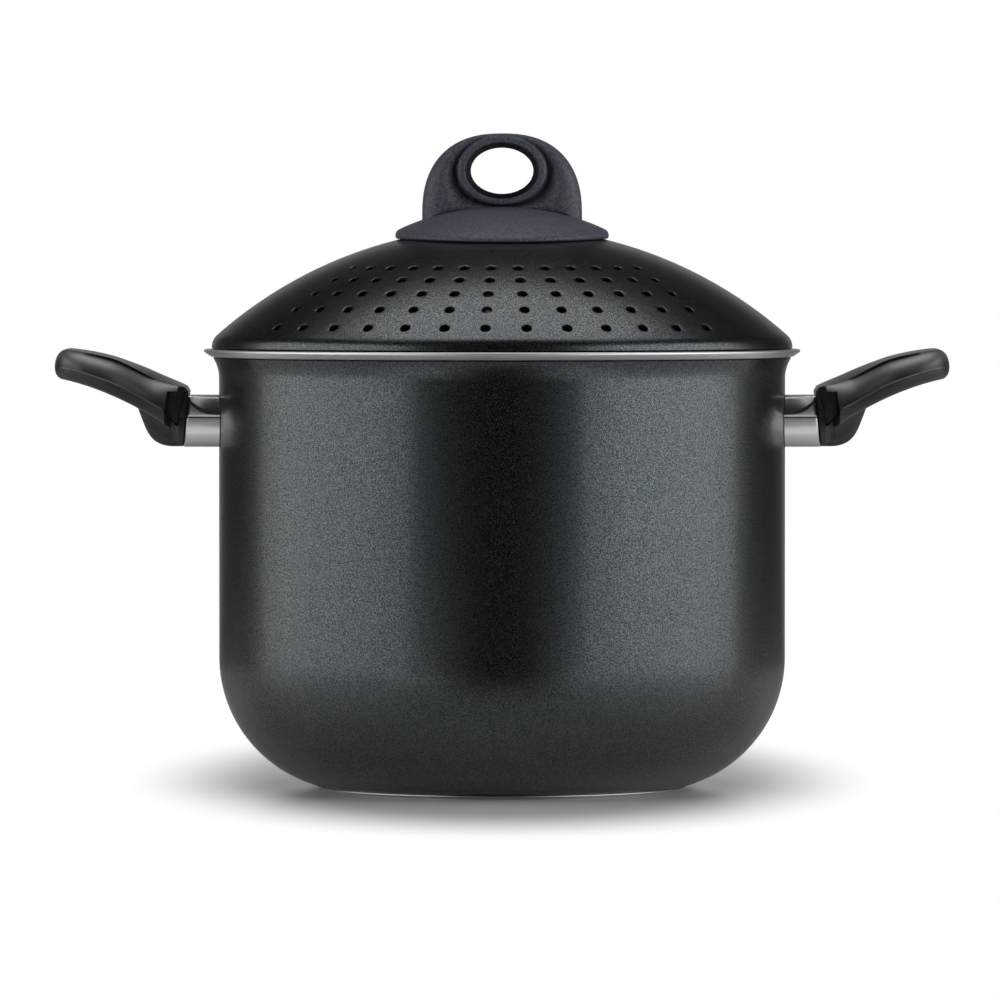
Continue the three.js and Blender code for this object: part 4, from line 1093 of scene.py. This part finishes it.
def sink_recess(item, pot, turn):
    """Cuts the round recess for the screw out of a grip, with a cylinder laid along X."""
    wall, height = pot.wall_radius / MM, pot.rim_height / MM - HANDLE_DROP
    seat, radius, past = 145.6, 5.2, wall + 60.0
    profile = eased([(0.0, seat), (radius, seat), (radius, past), (0.0, past)], 0.4)
    points, faces = lathe(profile, 64)
    cutter = make_object("recess_cutter", [(turn(lay_along_x(points, height)), faces, 0)], [])
    cut = item.modifiers.new("recess", "BOOLEAN")
    cut.operation = "DIFFERENCE"
    cut.solver = "EXACT"
    cut.object = cutter
    graph = bpy.context.evaluated_depsgraph_get()
    mesh = bpy.data.meshes.new_from_object(item.evaluated_get(graph))
    item.modifiers.remove(cut)
    item.data = mesh
    bpy.data.objects.remove(cutter)
    mesh.set_sharp_from_angle(angle=math.radians(40.0))


def make_grips(context):
    settings = context.scene.pasta_pot
    points, faces = grip_surface(settings.handle, settings.pot)
    for side, turn in SIDES:
        patches = [(turn(points), faces, 0)]
        item = make_object(f"grip_blade_{side}", patches, [finish(context, "grip")], 40.0)
        sink_recess(item, settings.pot, turn)
        dress(item, "pot", "grip_plastic", f"handle_grip_{side}")


# Stage

def looked_at(wire):
    """1 for rays from the camera and for mirrored and refracted ones, 0 for rays that carry light."""
    kinds = ("Camera", "Glossy", "Transmission")
    seen = [wire.node("ShaderNodeLightPath", output=f"Is {kind} Ray") for kind in kinds]
    return wire.math("MAXIMUM", wire.math("MAXIMUM", seen[0], seen[1]), seen[2])


def background(wire, behind, level):
    """Brightness of the background: 1 for the camera. Mirrored rays meet a pale card far behind the object,
    where the cosine to +Y is near 1, and the dim room elsewhere."""
    inputs = {"Value": behind, "From Min": 0.9, "From Max": 1.0, "To Min": level, "To Max": 0.5}
    card = wire.node("ShaderNodeMapRange", {"interpolation_type": "SMOOTHSTEP"}, inputs)
    camera = wire.node("ShaderNodeLightPath", output="Is Camera Ray")
    return wire.math("MAXIMUM", camera, card)


def floor_finish(sizes):
    """Pale floor: a faint mottle that takes the object's shadow near it, and the background further off. To
    mirrored rays it shows a painted dark reflection in front of the pot and painted pale reflections to the
    front left and right.
    """
    f = Finish("pale_floor")
    across, along = f.part("X") * (1 / 0.16), (f.part("Y") - 0.08) * (1 / 0.42)
    off = f.span((across * across + along * along) ** 0.5, 0.6, 1.05)
    aside = f.wire.math("ABSOLUTE", f.part("X")) / f.wire.math("MAXIMUM", -1.0 * f.part("Y"), 0.05)
    # Painted dark reflection: mirrored rays see the floor in front of the pot at the room's dim level
    # instead of its lit shade.
    painted_dark_reflection = f.span(f.part("Y"), -0.4, -0.13, 1.0, 0.0) * f.span(aside, 0.12, 0.36, 1.0, 0.0)
    # Painted pale reflection: to the front left and right, mirrored rays see the floor glow pale.
    front = f.span(f.part("Y"), -0.3, -0.15, 1.0, 0.0) * f.span(f.part("Y"), -1.2, -0.8)
    pale = front * f.span(aside, 0.3, 0.45) * f.span(aside, 0.9, 1.4, 1.0, 0.0)
    camera = f.wire.node("ShaderNodeLightPath", output="Is Camera Ray")
    mirrored = painted_dark_reflection + 0.6 * pale + f.span(f.part("Y"), 0.6, 1.6)
    far = off * camera + mirrored * (looked_at(f.wire) - camera)
    behind = f.part("Y") / (f.from_axis() + 0.001)
    mottle = f.noise(24.0, 3.0)
    tint = f.shades(mottle, sizes.floor, 0.985, 1.0)
    matt = f.wire.node("ShaderNodeBsdfPrincipled", {}, {"Base Color": tint, "Roughness": 0.25, "IOR": 1.5})
    level = f.wire.math("MAXIMUM", background(f.wire, behind, sizes.room_light), pale)
    white = f.wire.node("ShaderNodeEmission", {}, {"Strength": level})
    mixed = f.wire.node("ShaderNodeMixShader", {}, {0: far, 1: matt, 2: white})
    f.wire.node("ShaderNodeOutputMaterial", {}, {"Surface": mixed})
    return f.material


def add_lamp(name, place, target, size, radiance):
    """Rectangular soft lamp at a place, facing a target, whose face has a given radiance."""
    lamp = bpy.data.lights.new(name, "AREA")
    lamp.shape = "RECTANGLE"
    lamp.size, lamp.size_y = size
    lamp.energy = radiance * math.pi * size[0] * size[1]
    item = bpy.data.objects.new(name, lamp)
    away = np.array(place) - np.array(target)
    bpy.context.scene.collection.objects.link(item)
    item.location = place
    item.rotation_euler = Vector(away).to_track_quat("Z", "Y").to_euler()


def set_world(level):
    """Room: the background where it is looked at, and a dim level where it lights the object."""
    world = bpy.data.worlds.new("studio_room")
    world.use_nodes = True
    world.node_tree.nodes.clear()
    wire = Wire(world.node_tree)
    way = wire.node("ShaderNodeTexCoord", output="Generated")
    behind = wire.node("ShaderNodeSeparateXYZ", {}, {"Vector": way}, "Y")
    strength = level + looked_at(wire) * (background(wire, behind, level) - level)
    back = wire.node("ShaderNodeBackground", {}, {"Color": (1.0, 1.0, 1.0, 1.0), "Strength": strength})
    wire.node("ShaderNodeOutputWorld", {}, {"Surface": back})
    bpy.context.scene.world = world


def make_stage(context):
    """Round floor as a polar grid, lamps, room and the camera at the photograph's view."""
    sizes = context.scene.pasta_pot.stage
    r = np.concatenate([[0.0], np.geomspace(20.0, 30000.0, 40)])
    points, faces = lathe(np.stack([r, np.full(len(r), -0.05)], -1), 64)
    floor = make_object("studio_floor", [(points, faces, 0)], [floor_finish(sizes)])
    aim = (0.0, 0.0, 0.11)
    side, top = sizes.side_light, sizes.top_light
    left, right, level = (-1.1, -0.34, 0.38), (1.07, -0.42, 0.38), (0.0, 0.0, 0.38)
    add_lamp("left_softbox", left, level, (1.0, 0.95), 0.55 * side)
    add_lamp("left_scrim", left, level, (1.75, 0.95), 0.45 * side)
    add_lamp("right_softbox", right, level, (1.0, 0.95), 0.65 * side)
    add_lamp("right_scrim", right, level, (1.75, 0.95), 0.5 * side)
    add_lamp("top_softbox", (0.0, 0.12, 1.4), aim, (1.2, 0.75), 0.6 * top)
    add_lamp("top_scrim", (0.0, 0.04, 1.4), aim, (1.9, 1.2), 0.4 * top)
    set_world(sizes.room_light)
    camera = bpy.data.cameras.new("photo_view")
    camera.lens = 332.6
    camera.sensor_width = 36.0
    camera.clip_end = 100.0
    item = bpy.data.objects.new("photo_view", camera)
    context.scene.collection.objects.link(item)
    away, eye, looked = 4.0, 0.238, 0.1246
    item.location = (-0.0009, -away, eye)
    item.rotation_euler = (math.radians(90.0) - math.atan2(eye - looked, away), 0.0, 0.0)
    context.scene.camera = item
    context.scene.view_settings.view_transform = "Standard"


# Operators and panel

class PieceOperator:
    """Runs the makers of an operator's pieces, one after the other."""

    makers = ()

    def execute(self, context):
        for make in self.makers:
            make(context)
        return {"FINISHED"}


class PASTAPOT_OT_pot(PieceOperator, bpy.types.Operator):
    """Build the pot body and its base disc"""

    bl_idname = "pastapot.pot"
    bl_label = "Pot body and base"
    makers = (make_pot, make_base)


class PASTAPOT_OT_lid(PieceOperator, bpy.types.Operator):
    """Build the lid with its strainer holes"""

    bl_idname = "pastapot.lid"
    bl_label = "Strainer lid"
    makers = (make_lid,)


class PASTAPOT_OT_knob(PieceOperator, bpy.types.Operator):
    """Build the winged knob"""

    bl_idname = "pastapot.knob"
    bl_label = "Winged knob"
    makers = (make_knob,)


class PASTAPOT_OT_stack(PieceOperator, bpy.types.Operator):
    """Build the small pieces on the knob's stem"""

    bl_idname = "pastapot.stack"
    bl_label = "Pivot stack"
    makers = (make_stack,)


class PASTAPOT_OT_lock(PieceOperator, bpy.types.Operator):
    """Build the lock bar and its two keepers"""

    bl_idname = "pastapot.lock"
    bl_label = "Lock bar and keepers"
    makers = (make_bar, make_keepers)


class PASTAPOT_OT_fixings(PieceOperator, bpy.types.Operator):
    """Build the studs, screws and washers of the handles"""

    bl_idname = "pastapot.fixings"
    bl_label = "Handle fixings"
    makers = (make_fixings,)


class PASTAPOT_OT_handles(PieceOperator, bpy.types.Operator):
    """Build the flame guards and the grips"""

    bl_idname = "pastapot.handles"
    bl_label = "Flame guards and grips"
    makers = (make_guards, make_grips)


class PASTAPOT_OT_stage(PieceOperator, bpy.types.Operator):
    """Set the floor, the lamps and the camera"""

    bl_idname = "pastapot.stage"
    bl_label = "Studio stage"
    makers = (make_stage,)


OPERATORS = (
    PASTAPOT_OT_pot, PASTAPOT_OT_lid, PASTAPOT_OT_knob, PASTAPOT_OT_stack,
    PASTAPOT_OT_lock, PASTAPOT_OT_fixings, PASTAPOT_OT_handles, PASTAPOT_OT_stage,
)


class PASTAPOT_PT_sidebar(bpy.types.Panel):
    """Lists the pieces and their settings"""

    bl_label = "Pasta pot"
    bl_idname = "PASTAPOT_PT_sidebar"
    bl_space_type = "VIEW_3D"
    bl_region_type = "UI"
    bl_category = "Pasta pot"

    def draw(self, context):
        settings = context.scene.pasta_pot
        for name in ("pot", "lid", "knob", "handle", "stage"):
            box = self.layout.box()
            group = getattr(settings, name)
            for key in group.bl_rna.properties.keys():
                if key not in ("rna_type", "name"):
                    box.prop(group, key)
        for operator in OPERATORS:
            self.layout.operator(operator.bl_idname)


CLASSES = (
    PotSettings, LidSettings, KnobSettings, HandleSettings, StageSettings, PastaPotSettings,
    *OPERATORS, PASTAPOT_PT_sidebar,
)


def register():
    for item in CLASSES:
        bpy.utils.register_class(item)
    bpy.types.Scene.pasta_pot = PointerProperty(type=PastaPotSettings)


def unregister():
    del bpy.types.Scene.pasta_pot
    for item in reversed(CLASSES):
        bpy.utils.unregister_class(item)


def main():
    register()
    bpy.ops.pastapot.pot()
    bpy.ops.pastapot.lid()
    bpy.ops.pastapot.knob()
    bpy.ops.pastapot.stack()
    bpy.ops.pastapot.lock()
    bpy.ops.pastapot.fixings()
    bpy.ops.pastapot.handles()
    bpy.ops.pastapot.stage()


if __name__ == "__main__":
    main()
